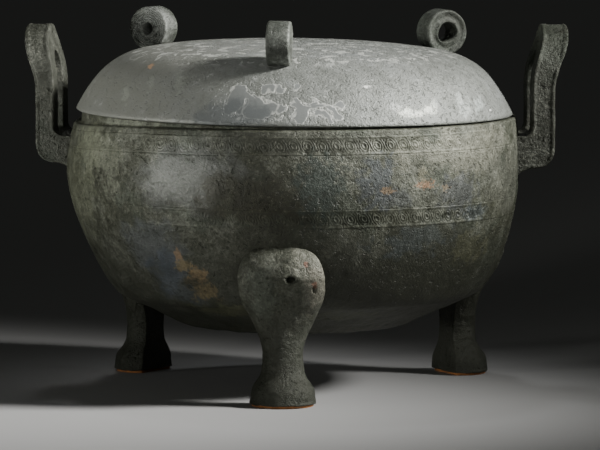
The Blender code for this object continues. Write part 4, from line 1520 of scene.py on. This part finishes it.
LID_STAINS = patches(
    (-45, -150, 208, 34, 20, 11, 0.118, 0.132, 0.136, 0.6, 1, 70),
    (72, -139, 212.5, 8, 10, 3, 0.48, 0.5, 0.47, 0.65, 1.9, 330),
    (80, -137, 208.5, 7, 10, 3.6, 0.7, 0.725, 0.65, 0.95, 1.8, 330),
    (87, -130, 207, 5.5, 10, 2.4, 0.7, 0.725, 0.65, 0.9, 1.8, 330),
    (96, -125, 209.5, 6, 10, 3.6, 0.7, 0.725, 0.65, 0.92, 1.8, 330),
    (99, -120, 212, 3, 10, 6, 0.52, 0.545, 0.49, 0.65, 1.8, 330),
    (119, -100, 218, 5, 12, 7.5, 0.43, 0.46, 0.43, 0.55, 1.7, 220),
    (121.5, -99, 209, 5, 12, 6.5, 0.44, 0.47, 0.44, 0.6, 1.7, 220),
    (132, -82, 212, 4.5, 12, 7.5, 0.42, 0.455, 0.43, 0.55, 1.7, 220),
    (141, -71.6, 205.8, 1.2, 4, 1.2, 0.8, 0.8, 0.76, 0.9, 0.8, 300),
    (51, -138, 226.5, 2.6, 8, 1.2, 0.8, 0.8, 0.76, 0.85, 1.2, 400),
    (-121.4, -90.2, 217.8, 3, 10, 12, 0.3, 0.32, 0.27, 0.5, 1.7, 200),
    (-81.4, -116, 229, 4, 10, 11, 0.29, 0.31, 0.265, 0.45, 1.8, 200),
    (-102, -100, 224, 3, 10, 10, 0.29, 0.31, 0.265, 0.45, 1.8, 200),
    (-103, -81.4, 237.8, 2.6, 4.5, 2.2, 0.52, 0.33, 0.2, 0.8, 1.6, 400),
)


def make_vessel(bowl: Bowl, legs: Sequence[Leg], handles: Sequence[Handle]) -> None:
    """Build and dress the bowl, the legs and the handles.

    Args:
        bowl: The bowl.
        legs: The three legs.
        handles: The two handles.
    """
    bronze = VesselBronze(stains=BOWL_STAINS_AND_PAINTED_LIGHT, smooth=BOWL_SMOOTH).make()
    # The legs' painted shade starts lower, at their bulbs.
    leg_bronze = VesselBronze("leg_bronze", dark=(0.026, 0.028, 0.018), olive=(0.072, 0.078, 0.052),
                              crust=1.3, painted_shade_from=0.088, painted_shade_full=0.048, stains=LEG_STAINS).make()
    handle_bronze = VesselBronze("handle_bronze", olive=(0.062, 0.066, 0.050), grey=(0.105, 0.110, 0.090),
                                 crust=1.2).make()
    add_piece("bowl", bowl.build(), "vessel", bronze)
    band_bronze = VesselBronze("band_bronze", crust=0.5, stains=BOWL_STAINS_AND_PAINTED_LIGHT, smooth=BOWL_SMOOTH).make()
    upper, middle = bowl.band_feet
    bands = (Band("upper_band", bowl, upper, (-106.0, -66.0)),
             Band("middle_band", bowl, middle, (-84.0, -34.5)))
    for band in bands:
        add_piece(band.name, band.build(), "vessel", band_bronze)
    for leg in legs:
        mesh = leg.build()
        roughen(mesh, leg.relief)
        add_piece(f"{leg.side.value}_leg", mesh, "vessel", leg_bronze)
    for handle in handles:
        mesh = handle.build()
        handle.finish(mesh)
        add_piece(f"{handle.side.value}_handle", mesh, "vessel", handle_bronze)


def make_lid(lid: Lid, knobs: Sequence[Knob]) -> None:
    """Build and dress the lid and its knobs.

    Args:
        lid: The lid.
        knobs: Its three knobs.
    """
    bronze = LidBronze(plates_at=LID_PLATES, stains=LID_STAINS).make()
    knob_bronze = VesselBronze("knob_bronze", dark=(0.040, 0.044, 0.036), olive=(0.105, 0.115, 0.095),
                               grey=(0.180, 0.195, 0.175), pale=(0.300, 0.310, 0.275), crust=0.8,
                               stains=KNOB_STAINS_AND_PAINTED_LIGHT).make()
    add_piece("lid", lid.build(), "lid", bronze)
    for knob in knobs:
        mesh = knob.build()
        roughen(mesh, knob.relief)
        add_piece(f"{knob.side.value}_knob", mesh, "lid", knob_bronze)


def main() -> None:
    """Build the studio, then each part of the cauldron, and note the sizes."""
    logging.basicConfig(level=logging.INFO, format="%(name)s %(message)s")
    Studio().build()
    bowl = Bowl()
    legs = [Leg(Side.FRONT, -93.6, bowl), Leg(Side.RIGHT, 26.4, bowl), Leg(Side.LEFT, 146.4, bowl)]
    handles = [
        Handle(Side.RIGHT, 3.0, bowl, 0.0055, 0.0168, 0.0085, 0.0112, 0.0240),
        Handle(Side.LEFT, 174.0, bowl, 0.0075, 0.0138, 0.0062, 0.0100, 0.0205),
    ]
    make_vessel(bowl, legs, handles)
    lid = Lid()
    knobs = [
        Knob(Side.FRONT, -95.5, lid, 0.0160, 0.0166, 0.0065),
        Knob(Side.RIGHT, 27.8, lid, 0.0168, 0.0180, 0.0146, dish=0.0008, ragged=0.0006),
        Knob(Side.LEFT, 150.0, lid, 0.0160, 0.0178, 0.0082, rings=1.0),
    ]
    make_lid(lid, knobs)
    pad_tan = PadTan().make()
    for leg in legs:
        name = f"{leg.side.value}_foot_pad"
        add_piece(name, FootPad(leg).build(), name, pad_tan)


if __name__ == "__main__":
    main()
